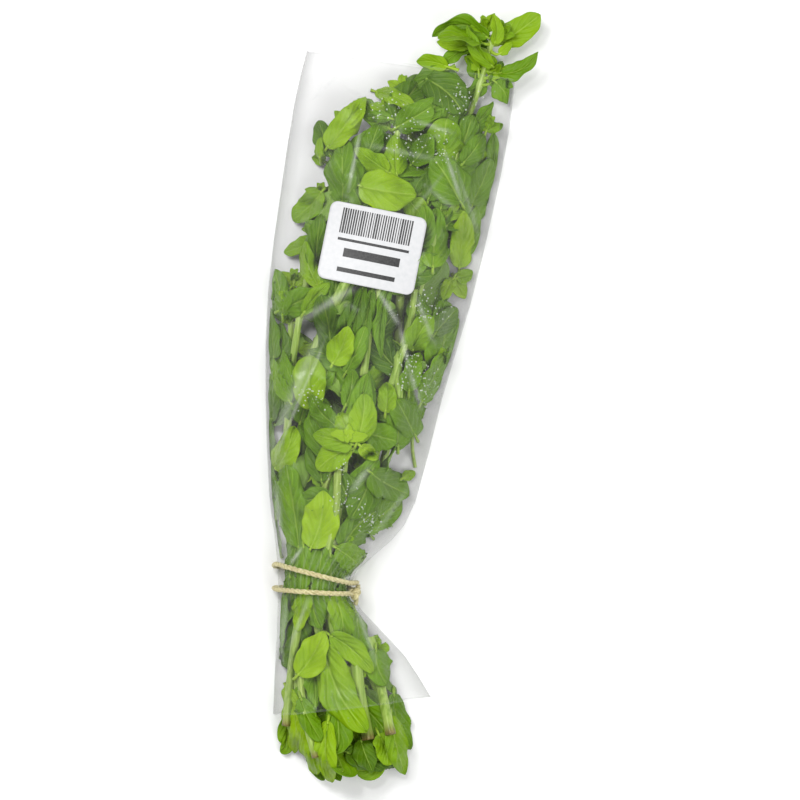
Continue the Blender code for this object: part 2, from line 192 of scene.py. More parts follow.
# Shader helpers.


class Nodes:
    # a small hand on a node tree: add a node, set its values, link its inputs
    def __init__(self, tree):
        self.tree = tree

    def add(self, kind, links=None, **settings):
        node = self.tree.nodes.new(kind)
        for key, value in settings.items():
            setattr(node, key, value)
        for key, value in (links or {}).items():
            if isinstance(value, bpy.types.NodeSocket):
                self.tree.links.new(value, node.inputs[key])
            else:
                node.inputs[key].default_value = value
        return node

    def math(self, operation, a, b=0.0, c=0.0, clamp=False):
        links = {0: a, 1: b, 2: c}
        return self.add("ShaderNodeMath", links, operation=operation, use_clamp=clamp).outputs[0]

    def mix(self, share, a, b):
        return self.add("ShaderNodeMix", {0: share, 6: a, 7: b}, data_type="RGBA").outputs[2]

    def spread(self, value, low, high, newLow=0.0, newHigh=1.0):
        links = {0: value, 1: low, 2: high, 3: newLow, 4: newHigh}
        return self.add("ShaderNodeMapRange", links).outputs[0]

    def bump(self, shader, height, strength, distance):
        links = {"Height": height, "Strength": strength, "Distance": distance}
        normal = self.add("ShaderNodeBump", links).outputs[0]
        self.tree.links.new(normal, shader.inputs["Normal"])

    def attribute(self, name):
        return self.add("ShaderNodeAttribute", attribute_name=name).outputs["Fac"]

    def noise(self, scale, detail=3.0, vector=None, kind="FBM"):
        links = {"Scale": scale, "Detail": detail}
        if vector is not None:
            links["Vector"] = vector
        else:
            links["Vector"] = self.add("ShaderNodeTexCoord").outputs["Object"]
        return self.add("ShaderNodeTexNoise", links, noise_type=kind).outputs["Fac"]


def newMaterial(name, roughness, **constants):
    material = bpy.data.materials.new(name)
    material.use_nodes = True
    shader = material.node_tree.nodes["Principled BSDF"]
    shader.inputs["Roughness"].default_value = roughness
    for key, value in constants.items():
        shader.inputs[key.replace("_", " ")].default_value = value
    return material, shader, Nodes(material.node_tree)


# Leaf: its blade, its veins and its finish.

leaf = {
    "across": 18,
    "along": 38,
    "thick": 0.2,
    "fold": 0.18,  # rise of the edges, per half width
    "veins": 5.0,  # side veins on each half
    "veinSweep": 0.55,  # how far a side vein runs towards the tip before the edge
    "pucker": 0.034,  # per length
    "midribDip": 0.024,
    "edgeWave": 0.05,
    "wobble": (0.07, 0.035),  # waves of the outline, per half width
    "petioleRadius": 0.55,
}


def veinGroup():
    # where the veins run on a leaf's own map: u across, v from base to tip
    tree = bpy.data.node_groups.new("leafVeins", "ShaderNodeTree")
    for name, value in (("Count", 5.5), ("Sweep", 0.42), ("Fineness", 26.0)):
        tree.interface.new_socket(name, in_out="INPUT", socket_type="NodeSocketFloat").default_value = value
    for name in ("Main", "Net"):
        tree.interface.new_socket(name, in_out="OUTPUT", socket_type="NodeSocketFloat")
    n = Nodes(tree)
    given = n.add("NodeGroupInput").outputs
    place = n.add("ShaderNodeUVMap", uv_map="UVMap").outputs[0]
    parts = n.add("ShaderNodeSeparateXYZ", {0: place}).outputs
    off = n.math("MULTIPLY", n.math("ABSOLUTE", n.math("SUBTRACT", parts[0], 0.5)), 2.0)
    midrib = n.spread(off, 0.02, 0.07, 1.0, 0.0)
    back = n.math("MULTIPLY", n.math("POWER", off, 0.8), given["Sweep"])
    phase = n.math("MULTIPLY", n.math("SUBTRACT", parts[1], back), given["Count"])
    near = n.math("ABSOLUTE", n.math("SUBTRACT", n.math("FRACT", phase), 0.5))
    side = n.spread(near, 0.43, 0.5, 0.0, 1.0)
    side = n.math("MULTIPLY", side, n.spread(off, 0.75, 1.0, 1.0, 0.0))
    main = n.math("MAXIMUM", midrib, n.math("MULTIPLY", side, 0.75))
    cells = n.add("ShaderNodeTexVoronoi", {"Vector": place, "Scale": given["Fineness"]}, feature="DISTANCE_TO_EDGE")
    net = n.spread(cells.outputs["Distance"], 0.0, 0.10, 1.0, 0.0)
    result = n.add("NodeGroupOutput")
    tree.links.new(main, result.inputs["Main"])
    tree.links.new(net, result.inputs["Net"])
    return tree


def makeLeafMaterial():
    material, shader, n = newMaterial("mintLeaf", 0.42, Specular_IOR_Level=0.18, Subsurface_Weight=0.0)
    veins = n.add("ShaderNodeGroup", node_tree=veinGroup())
    veins.inputs["Count"].default_value = leaf["veins"]
    veins.inputs["Sweep"].default_value = leaf["veinSweep"]
    tone = n.attribute("tone")
    patches = n.noise(95.0, 4.0)
    tone = n.math("ADD", tone, n.spread(patches, 0.3, 0.7, -0.13, 0.13))
    ramp = n.add("ShaderNodeValToRGB", {0: tone})
    stops = ramp.color_ramp.elements
    stops[0].color = (0.026, 0.072, 0.001, 1)
    stops[1].color = (0.265, 0.430, 0.003, 1)
    middle = stops.new(0.5)
    middle.color = (0.118, 0.250, 0.001, 1)
    green = n.mix(n.math("MULTIPLY", veins.outputs["Net"], 0.10), ramp.outputs[0], (0.24, 0.42, 0.03, 1))
    green = n.mix(n.math("MULTIPLY", veins.outputs["Main"], 0.42), green, (0.36, 0.50, 0.08, 1))
    pale = n.mix(0.5, green, (0.22, 0.34, 0.09, 1))
    n.tree.links.new(n.mix(n.attribute("under"), green, pale), shader.inputs["Base Color"])
    grain = n.noise(900.0, 3.0)
    n.tree.links.new(n.spread(grain, 0.3, 0.7, 0.36, 0.52), shader.inputs["Roughness"])
    height = n.math("SUBTRACT", n.math("MULTIPLY", grain, 0.25), n.math("MULTIPLY", veins.outputs["Main"], 0.8))
    height = n.math("SUBTRACT", height, n.math("MULTIPLY", veins.outputs["Net"], 0.25))
    n.bump(shader, height, 0.55, 0.00012)
    return material


leafMaterial = makeLeafMaterial()


def leafOutline(v, point):
    # half width of an ovate blade at each share of its length, 1 at its widest
    widest = 0.5 / (0.5 + point)
    return (v**0.5 * (1 - v) ** point) / (widest**0.5 * (1 - widest) ** point)


def wavyReach(v, u, half, point):
    # half widths along a blade, each side with its own waves
    slow, quick = leaf["wobble"]
    phases = chance.uniform(0, 2 * math.pi, 4)
    waves = [1 + slow * np.sin(v * 7 + phases[k]) + quick * np.sin(v * 21 + phases[k + 1]) for k in (0, 2)]
    waves = np.where(u[None, :] < 0, waves[0][:, None], waves[1][:, None])
    return half * leafOutline(v, point)[:, None] * waves + 0.3 * (1 - v[:, None]) + 0.05


def bladeShape(sheet, length, tone, detail=1.0):
    # a closed blade on a sheet of points: puckered between its veins, dipped along its midrib
    rows, columns = sheet.shape[:2]
    v = np.linspace(0, 1, rows)[:, None]
    u = np.linspace(-1, 1, columns)[None, :]
    normal = unit(np.cross(np.gradient(sheet, axis=1), np.gradient(sheet, axis=0)))
    off = np.abs(u)
    phase = (v - leaf["veinSweep"] * off**0.8) * leaf["veins"]
    bulge = np.abs(np.cos(math.pi * phase)) ** 0.8 * np.minimum(1, off * 5) * (1 - off**4)
    rise = leaf["pucker"] * bulge * np.sin(math.pi * np.clip(v, 0.02, 0.98)) ** 0.5
    rise = rise - leaf["midribDip"] * np.exp(-((off / 0.13) ** 2)) * (1 - v)
    wave = chance.uniform(0, 2 * math.pi, 2)
    side = np.where(u < 0, np.sin(v * 11 + wave[0]), np.sin(v * 13 + wave[1]))
    rise = rise + leaf["edgeWave"] * side * off**3 * np.sin(math.pi * v) ** 0.6
    sheet = keepIn(sheet + normal * (rise * length * detail)[..., None])
    half = normal * leaf["thick"] / 2
    points = np.concatenate([(sheet + half).reshape(-1, 3), (sheet - half).reshape(-1, 3)])
    count = rows * columns
    uv = np.stack(np.broadcast_arrays(u / 2 + 0.5, v), -1).reshape(-1, 2)
    return {
        "points": points,
        "faces": slabFaces(rows, columns),
        "uv": np.concatenate([uv, uv]),
        "tone": np.full(2 * count, tone),
        "under": np.repeat([0.0, 1.0], count),
    }


def stalkShape(line, radii, tone):
    points, faces = tubeShape(keepIn(line), radii)
    uv = np.tile([0.5, 0.0], (len(points), 1))
    return {"points": points, "faces": faces, "uv": uv, "tone": tone, "under": 0.0}


def petioleShape(root, base, direction, tone):
    # from inside the stem to a blade's base, arriving along the blade
    reach = np.linalg.norm(base - root)
    t = np.linspace(0, 1, 8)[:, None]
    bend = base - direction * reach * 0.45
    line = root * (1 - t) ** 2 + 2 * bend * t * (1 - t) + (base + direction * 1.2) * t**2
    radius = leaf["petioleRadius"]
    return stalkShape(line, np.linspace(radius * 1.25, radius * 0.7, len(line)), tone)


# The frame's stems and leaf pairs, read back from their solids.


def cadShape(node):
    # a solid's points in millimetres, and the neighbours of each
    shape = bmesh.new()
    shape.from_mesh(bpy.data.objects[node].data)
    bmesh.ops.remove_doubles(shape, verts=shape.verts, dist=0.01 * mm)
    shape.verts.index_update()
    points = np.array([tuple(v.co) for v in shape.verts]) / mm
    links = [[e.other_vert(v).index for e in v.link_edges] for v in shape.verts]
    shape.free()
    return points, links


def walkRows(links, start):
    # the rows of points met when walking away from the start
    seen = set(start)
    rows = [list(start)]
    while rows[-1]:
        after = []
        for i in rows[-1]:
            for j in links[i]:
                if j not in seen:
                    seen.add(j)
                    after.append(j)
        rows.append(after)
    return rows[:-1]


cadLeafThickness = 0.5


def middleOfRow(points, links, row):
    # left, middle and right of a strip's row, from the six points of its thick section
    ring = [row[0]]
    while len(ring) < 6:
        ring.append(next(j for j in links[ring[-1]] if j in row and j not in ring[-2:]))
    best = None
    for k in range(3):
        turn = ring[k:] + ring[:k]
        pairs = ((turn[0], turn[1]), (turn[3], turn[4]), (turn[2], turn[5]))
        cost = sum(abs(np.linalg.norm(points[a] - points[b]) - cadLeafThickness) for a, b in pairs)
        if best is None or cost < best[0]:
            best = (cost, [(points[a] + points[b]) / 2 for a, b in pairs])
    left, right, middle = best[1]
    return left, middle, right


def stripRows(node):
    # a strip's rows from tip to tip: both tips are pairs of points, all other rows have six
    points, links = cadShape(node)
    for end, near in enumerate(links):
        for twin in near:
            walk = walkRows(links, [end, twin])
            if [len(row) for row in walk] == [2, 6, 6, 6, 6, 6, 6, 6, 2]:
                tips = [points[row].mean(0) for row in (walk[0], walk[-1])]
                rows = [middleOfRow(points, links, row) for row in walk[1:-1]]
                return [(tips[0],) * 3, *rows, (tips[1],) * 3]
    raise ValueError(node)


def stemLine(node):
    # a square tube's rings follow each other along Y
    points, _ = cadShape(node)
    rings = points[np.argsort(points[:, 1])].reshape(-1, 4, 3)
    centres = rings.mean(1)
    radii = np.linalg.norm(rings - centres[:, None], axis=2).mean(1)
    line = smoothLine(centres, 1.0)
    along = np.linspace(0, 1, len(line))
    return line, np.interp(along, np.linspace(0, 1, len(radii)), radii)


stems = {n: stemLine(f"sprig_{n}_stem") for n in range(1, sprigCount + 1)}


def nearestOnStem(n, point):
    line = stems[n][0]
    return int(np.argmin(np.linalg.norm(line - point, axis=1)))


# The heap: how high the bunch stands at each place, one number for each square millimetre.

heapStart = np.array([-60.0, -140.0])
heap = np.zeros((290, 125))


def cellsOf(x, y):
    i = np.clip(np.round(y - heapStart[1]).astype(int), 0, heap.shape[0] - 1)
    j = np.clip(np.round(x - heapStart[0]).astype(int), 0, heap.shape[1] - 1)
    return i, j


def heapRaise(points):
    i, j = cellsOf(points[:, 0], points[:, 1])
    np.maximum.at(heap, (i, j), points[:, 2])


def cadTop(node):
    # the top of a solid over each place, or 0 where it isn't
    points, _ = cadShape(node)
    data = bpy.data.objects[node].data
    corners = [v.co / mm for v in data.vertices]
    tree = BVHTree.FromPolygons(corners, [tuple(p.vertices) for p in data.polygons])
    top = np.zeros(heap.shape)
    for i in range(heap.shape[0]):
        for j in range(heap.shape[1]):
            spot = Vector((heapStart[0] + j, heapStart[1] + i, 100))
            hit = tree.ray_cast(spot, Vector((0, 0, -1)))[0]
            top[i, j] = hit.z if hit else 0
    return top


film = {
    "columns": 124,
    "rows": 250,
    "wall": 0.07,
    "gap": 0.3,
    "edge": 0.5,
    "stiffness": 0.55,  # 1 bridges every hollow straight across, 0 clings
    "tieReach": 8.0,
    "pleats": 13,
    "pleatHeight": 0.3,
    # folds pressed into the film, as lines on the bunch, their strength and their half width; the strength also
    # whitens the film there, a painted highlight along each fold
    "creasesAndGlints": [
        ((-27, 22.7), (-45, -20.3), 0.5, 1.7), ((-25.5, 20), (-43, -21), 0.6, 0.5),
        ((14, 81.7), (19.8, 64.5), 0.8, 0.5),
        ((-13.9, 90), (-18, 68.4), 0.8, 0.5), ((-9.3, 37), (-1, 24), 0.8, 0.6),
        ((-1, 24), (2, 10), 0.6, 0.6),
        ((2, 10), (6.2, -3.7), 0.7, 0.6), ((3.8, 35.6), (10.4, 17.8), 0.6, 0.6),
        ((-14.4, 37.5), (-35.4, 24.4), 0.6, 1.1),
        ((-42.5, -29.2), (-40, -53), 0.7, 0.9), ((-11, -23), (-17, -31), 0.5, 1.0),
        ((-33.5, -50), (-37.5, -55.5), 0.8, 0.5),
        ((-15.4, -59), (-22, -61.5), 0.9, 0.5), ((-38.5, -66.6), (-41, -87.8), 0.5, 0.9),
        ((4, 92), (17, 88), 0.6, 0.5),
        ((-12, 84), (12, 79), 0.4, 0.7), ((-16, -68), (-9, -88), 0.5, 0.7),
        ((-31, -66), (-38, -84), 0.5, 0.6),
        ((8, 70), (18, 62), 0.4, 0.6), ((2, 60), (14, 75), 0.3, 0.5),
        ((-8, -44), (2, -30), 0.4, 0.7),
        ((-30, 100), (-22, 108), 0.3, 0.5), ((16.7, 79.3), (26, 52.7), 0.4, 0.5),
        ((-20, 104), (-6, 96), 0.25, 0.5),
    ],
    # where water has gathered under the film: place and reach
    "damp": [
        ((2, 86), 10), ((12, 82), 7), ((-4, 95), 7), ((7, 30), 7), ((2, 10), 8), ((9, 3), 6),
        ((-19, -31), 7), ((-20, -24), 5), ((-12, -40), 6), ((-30, 2), 6), ((20, 100), 7),
    ],
}


def sliceOf(points, edges, origin, way):
    # how far a solid reaches along a line, and its lowest point there
    a, b = points[edges[:, 0]], points[edges[:, 1]]
    normal = np.array([-way[1], way[0], 0.0])
    before, after = (a - origin) @ normal, (b - origin) @ normal
    cut = (before * after <= 0) & (before != after)
    share = (before[cut] / (before[cut] - after[cut]))[:, None]
    met = a[cut] + (b[cut] - a[cut]) * share
    along = (met - origin) @ way
    return along.min(), along.max(), met[:, 2].min()


def filmPlan():
    # the lie of the film seen from above, and the height of its underside
    points, links = cadShape("sleeve")
    edges = np.array([(i, j) for i, row in enumerate(links) for j in row if i < j])
    x, y = points[:, 0], points[:, 1]
    corners = [points[k] * (1, 1, 0) for k in (np.argmin(x + y), np.argmax(x - y), np.argmax(y - x), np.argmax(x + y))]
    footLeft, footRight, mouthLeft, mouthRight = corners
    spots, floors = [], []
    for share in np.linspace(0.0008, 0.9992, film["rows"] + 1):
        origin = (footLeft + footRight) / 2 * (1 - share) + (mouthLeft + mouthRight) / 2 * share
        way = unit(unit(footRight - footLeft) * (1 - share) + unit(mouthRight - mouthLeft) * share)
        low, high, floor = sliceOf(points, edges, origin, way)
        u = np.linspace(0, 1, film["columns"] + 1)[:, None]
        spots.append(origin + way * (low * (1 - u) + high * u))
        floors.append(floor)
    return np.array(spots)[..., :2], np.maximum(np.array(floors), 0)


roof = cadTop("sleeve")
tieLow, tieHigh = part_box("twine")
tieY = (tieLow.y + tieHigh.y) / 2 / mm
spots, floors = filmPlan()
mouthY = spots[-1, :, 1].min()


press = {
    "lift": 2.6,  # how far leaves may lift the film over the frame's roof, away from the tie
    "tieReach": 13,
    "top": 29.6,
    "film": 0.7,  # kept free for the film
    "open": 26,  # how high leaves may reach outside the film
    "soft": 1.6,
    "table": 0.8,
    "underTie": 1.4,
}


def squeeze(values, limit, soft):
    # values near or past the limit are pressed in before it
    start = limit - soft
    pressed = limit - soft * np.exp(np.minimum((start - values) / soft, 0))
    return np.where(values > start, pressed, values)


def ceilingOver(x, y):
    # how high leaves may reach: over the frame's roof a little, except by the tie
    i, j = cellsOf(x, y)
    free = 1 - np.exp(-(((y - tieY) / press["tieReach"]) ** 4))
    inside = np.minimum(roof[i, j] + press["lift"] * free, press["top"]) - press["film"]
    return np.where((roof[i, j] > 3) & (y < mouthY), inside, press["open"])


def keepIn(points):
    # leaves are pressed in by the film at both sides and above, and by the table below
    x, y, z = np.moveaxis(np.asarray(points, float), -1, 0)
    left = np.interp(y, spots[:, 0, 1], spots[:, 0, 0]) + 0.8
    right = np.interp(y, spots[:, -1, 1], spots[:, -1, 0]) - 1.2 + np.maximum(y - mouthY + 3, 0) * 6
    x = squeeze(-squeeze(-x, -left, 1.6), right, 2.2)
    z = np.maximum(squeeze(z, ceilingOver(x, y), press["soft"]), press["table"])
    return np.stack([x, y, z], -1)


print("frame read: stems", len(stems), "roof", round(float(roof.max()), 1), "mm")


# Sprigs: stems, the frame's leaf pairs, shoots and the leaves laid over them.

stemLook = {"sides": 20, "square": 0.1, "nodeSwell": 0.28, "nodeLength": 1.7, "cutLength": 2.2}


def makeStemMaterial():
    material, shader, n = newMaterial("mintStem", 0.4, Specular_IOR_Level=0.4)
    place = n.add("ShaderNodeTexCoord").outputs["Object"]
    long = n.add("ShaderNodeMapping", {"Vector": place, "Scale": (1.0, 0.06, 1.0)}).outputs[0]
    streaks = n.noise(900.0, 4.0, long)
    blotches = n.noise(60.0, 3.0)
    green = n.mix(n.spread(streaks, 0.35, 0.7), (0.18, 0.31, 0.03, 1), (0.38, 0.52, 0.11, 1))
    green = n.mix(n.spread(blotches, 0.45, 0.75, 0.0, 0.5), green, (0.32, 0.40, 0.08, 1))
    joint = n.mix(n.attribute("joint"), green, (0.42, 0.56, 0.16, 1))
    cut = n.mix(n.spread(streaks, 0.3, 0.6), (0.07, 0.04, 0.012, 1), (0.24, 0.19, 0.06, 1))
    n.tree.links.new(n.mix(n.attribute("cut"), joint, cut), shader.inputs["Base Color"])
    n.bump(shader, streaks, 0.5, 0.0002)
    return material


stemMaterial = makeStemMaterial()


def cadLeafSheet(rows):
    # rows run from the petiole to the tip of one of the frame's leaves
    shares = np.array([0.1, 0.42, 0.74, 1.0])
    middles = np.array([row[1] for row in rows])
    t = np.linspace(0.07, 1, leaf["along"] + 1)
    centre = np.stack([np.polyval(np.polyfit(shares, middles[:, k], 3), t) for k in range(3)], 1)
    tangent = unit(np.gradient(centre, axis=0))
    sides = [unit(row[2] - row[0]) for row in rows[:3]]
    for k in (0, 2):
        if sides[k] @ sides[1] < 0:
            sides[k] = -sides[k]
    sides = np.array(sides)
    side = np.stack([np.interp(t, shares[:3], sides[:, k]) for k in range(3)], 1)
    side = unit(side - tangent * (side * tangent).sum(1, keepdims=True))
    normal = np.cross(side, tangent)
    cup = (rows[1][0] + rows[1][2]) / 2 - rows[1][1]
    if cup @ normal[len(t) // 2] < 0:
        side, normal = -side, -normal
    length = float(np.linalg.norm(np.diff(centre, axis=0), axis=1).sum())
    half = np.linalg.norm(rows[1][2] - rows[1][0]) / 2 * chance.uniform(0.75, 0.95)
    return spreadSheet(centre, side, normal, half, chance.uniform(0.6, 0.8)), length


def spreadSheet(centre, side, normal, half, point, fold=None):
    # a blade's sheet about its midrib, its edges raised by the fold
    v = np.linspace(0, 1, len(centre))
    u = np.linspace(-1, 1, leaf["across"] + 1)
    reach = wavyReach(v, u, half, point)
    away = u[None, :] * reach
    lift = np.abs(u[None, :]) ** 1.7 * reach * (leaf["fold"] if fold is None else fold)
    return centre[:, None] + side[:, None] * away[..., None] + normal[:, None] * lift[..., None]


def freeLeaf(base, tip, width, bow, tone, tilt=0.0):
    # a leaf in the air from base to tip; bow pushes its middle out, tilt turns it about its midrib
    base, tip, bow = (np.asarray(p, float) for p in (base, tip, bow))
    t = np.linspace(0, 1, leaf["along"] + 1)[:, None]
    centre = base * (1 - t) ** 2 + 2 * ((base + tip) / 2 + bow) * t * (1 - t) + tip * t**2
    tangent = unit(np.gradient(centre, axis=0))
    side = unit(np.cross(tangent, up) + 1e-6)
    normal = np.cross(side, tangent)
    side, normal = side * math.cos(tilt) + normal * math.sin(tilt), normal * math.cos(tilt) - side * math.sin(tilt)
    length = float(np.linalg.norm(tip - base))
    sheet = spreadSheet(centre, side, normal, width / 2, chance.uniform(0.65, 0.9), 0.3)
    sheet[..., 2] = np.maximum(sheet[..., 2], 0.8)
    return bladeShape(sheet, length, tone)


def shootShapes(root, direction, size, pairs, tone, openness=0.6):
    # a little shoot: a stalk that ends in small leaves set crosswise
    direction = unit(np.asarray(direction, float))
    length = size * (0.35 + 0.3 * pairs)
    top = root + direction * length
    line = smoothLine([root, (root + top) / 2 + chance.normal(0, 0.2, 3), top], 0.8)
    shapes = [stalkShape(line, np.linspace(0.55, 0.35, len(line)), tone + 0.15)]
    across = unit(np.cross(direction, up) + 1e-6)
    other = np.cross(direction, across)
    for k in range(pairs):
        foot = root + direction * length * (0.45 + 0.55 * (k + 1) / pairs)
        way = across if k % 2 == 0 else other
        span = size * (1 - 0.28 * k) * chance.uniform(0.85, 1.1)
        spreadOut = openness * (1 - 0.25 * k)
        for sign in (-1, 1):
            heading = unit(direction * (1 - spreadOut * 0.6) + way * sign * spreadOut + chance.normal(0, 0.08, 3))
            bow = direction * span * 0.14
            leafTone, tilt = tone + chance.uniform(-0.1, 0.12), chance.uniform(-0.4, 0.4)
            shapes.append(freeLeaf(foot, foot + heading * span, span * 0.52, bow, leafTone, tilt))
    for shape in shapes:
        heapRaise(shape["points"])
    return shapes


shoots = {"share": 0.6, "size": (4.0, 8.0), "tipSize": 6.5, "tone": 0.72}
sprigShapes = {n: [] for n in stems}  # the leaves that the frame leaves out
jointPlaces = {n: [] for n in stems}


def makeLeafPair(node, n):
    rows = stripRows(node)
    line = stems[n][0]
    at = nearestOnStem(n, rows[4][1])
    jointPlaces[n].append(at)
    root = line[at]
    ahead = unit(line[min(at + 2, len(line) - 1)] - line[max(at - 2, 0)])
    shapes = []
    leafTone = chance.uniform(0.25, 0.7)
    for part in (rows[3::-1], rows[5:]):
        sheet, length = cadLeafSheet(part)
        tone = leafTone + chance.uniform(-0.12, 0.12)
        blade = bladeShape(sheet, length, tone)
        base = sheet[0, leaf["across"] // 2]
        direction = unit(sheet[3, leaf["across"] // 2] - base)
        shapes += [blade, petioleShape(root, base, direction, tone + 0.25)]
        heapRaise(blade["points"])
        if chance.random() < shoots["share"]:
            way = unit(ahead * 0.8 + unit(base - root) * 0.6) * (1, 1, 0.35)
            size = chance.uniform(*shoots["size"])
            pairs = int(chance.integers(1, 3))
            sprigShapes[n] += shootShapes(root, way, size, pairs, shoots["tone"])
    makePiece(f"sprig{n}LeafPair{node.rsplit('_', 1)[1]}", shapes, leafMaterial, [node])


def makeStem(n):
    line, radii = stems[n]
    along = np.arange(len(line))
    joint = np.zeros(len(line))
    for at in jointPlaces[n]:
        joint = np.maximum(joint, np.exp(-(((along - at) / stemLook["nodeLength"]) ** 2)))
    radii = radii * 0.95 * (1 + stemLook["nodeSwell"] * joint)
    cut = np.exp(-((along / stemLook["cutLength"]) ** 2))
    radii = radii * (1 + 0.12 * cut)
    points, faces = tubeShape(line, radii, stemLook["sides"], stemLook["square"])
    ends = [0, len(line) - 1]
    shape = {
        "points": points,
        "faces": faces,
        "joint": np.concatenate([np.repeat(joint, stemLook["sides"]), joint[ends]]),
        "cut": np.concatenate([np.repeat(cut, stemLook["sides"]), cut[ends]]),
    }
    heapRaise(points)
    makePiece(f"sprig{n}Stem", [shape], stemMaterial, [f"sprig_{n}_stem"])


for node in sorted(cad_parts):
    if "leaf_pair" in node:
        makeLeafPair(node, int(node.split("_")[1]))
for n in stems:
    makeStem(n)
    line = stems[n][0]
    if n > 1:
        way = line[-1] - line[-6]
        sprigShapes[n] += shootShapes(line[-1] - (0, 0.5, 0), way, shoots["tipSize"], 3, 0.75, 0.75)
print("sprigs: leaf pairs and stems made")

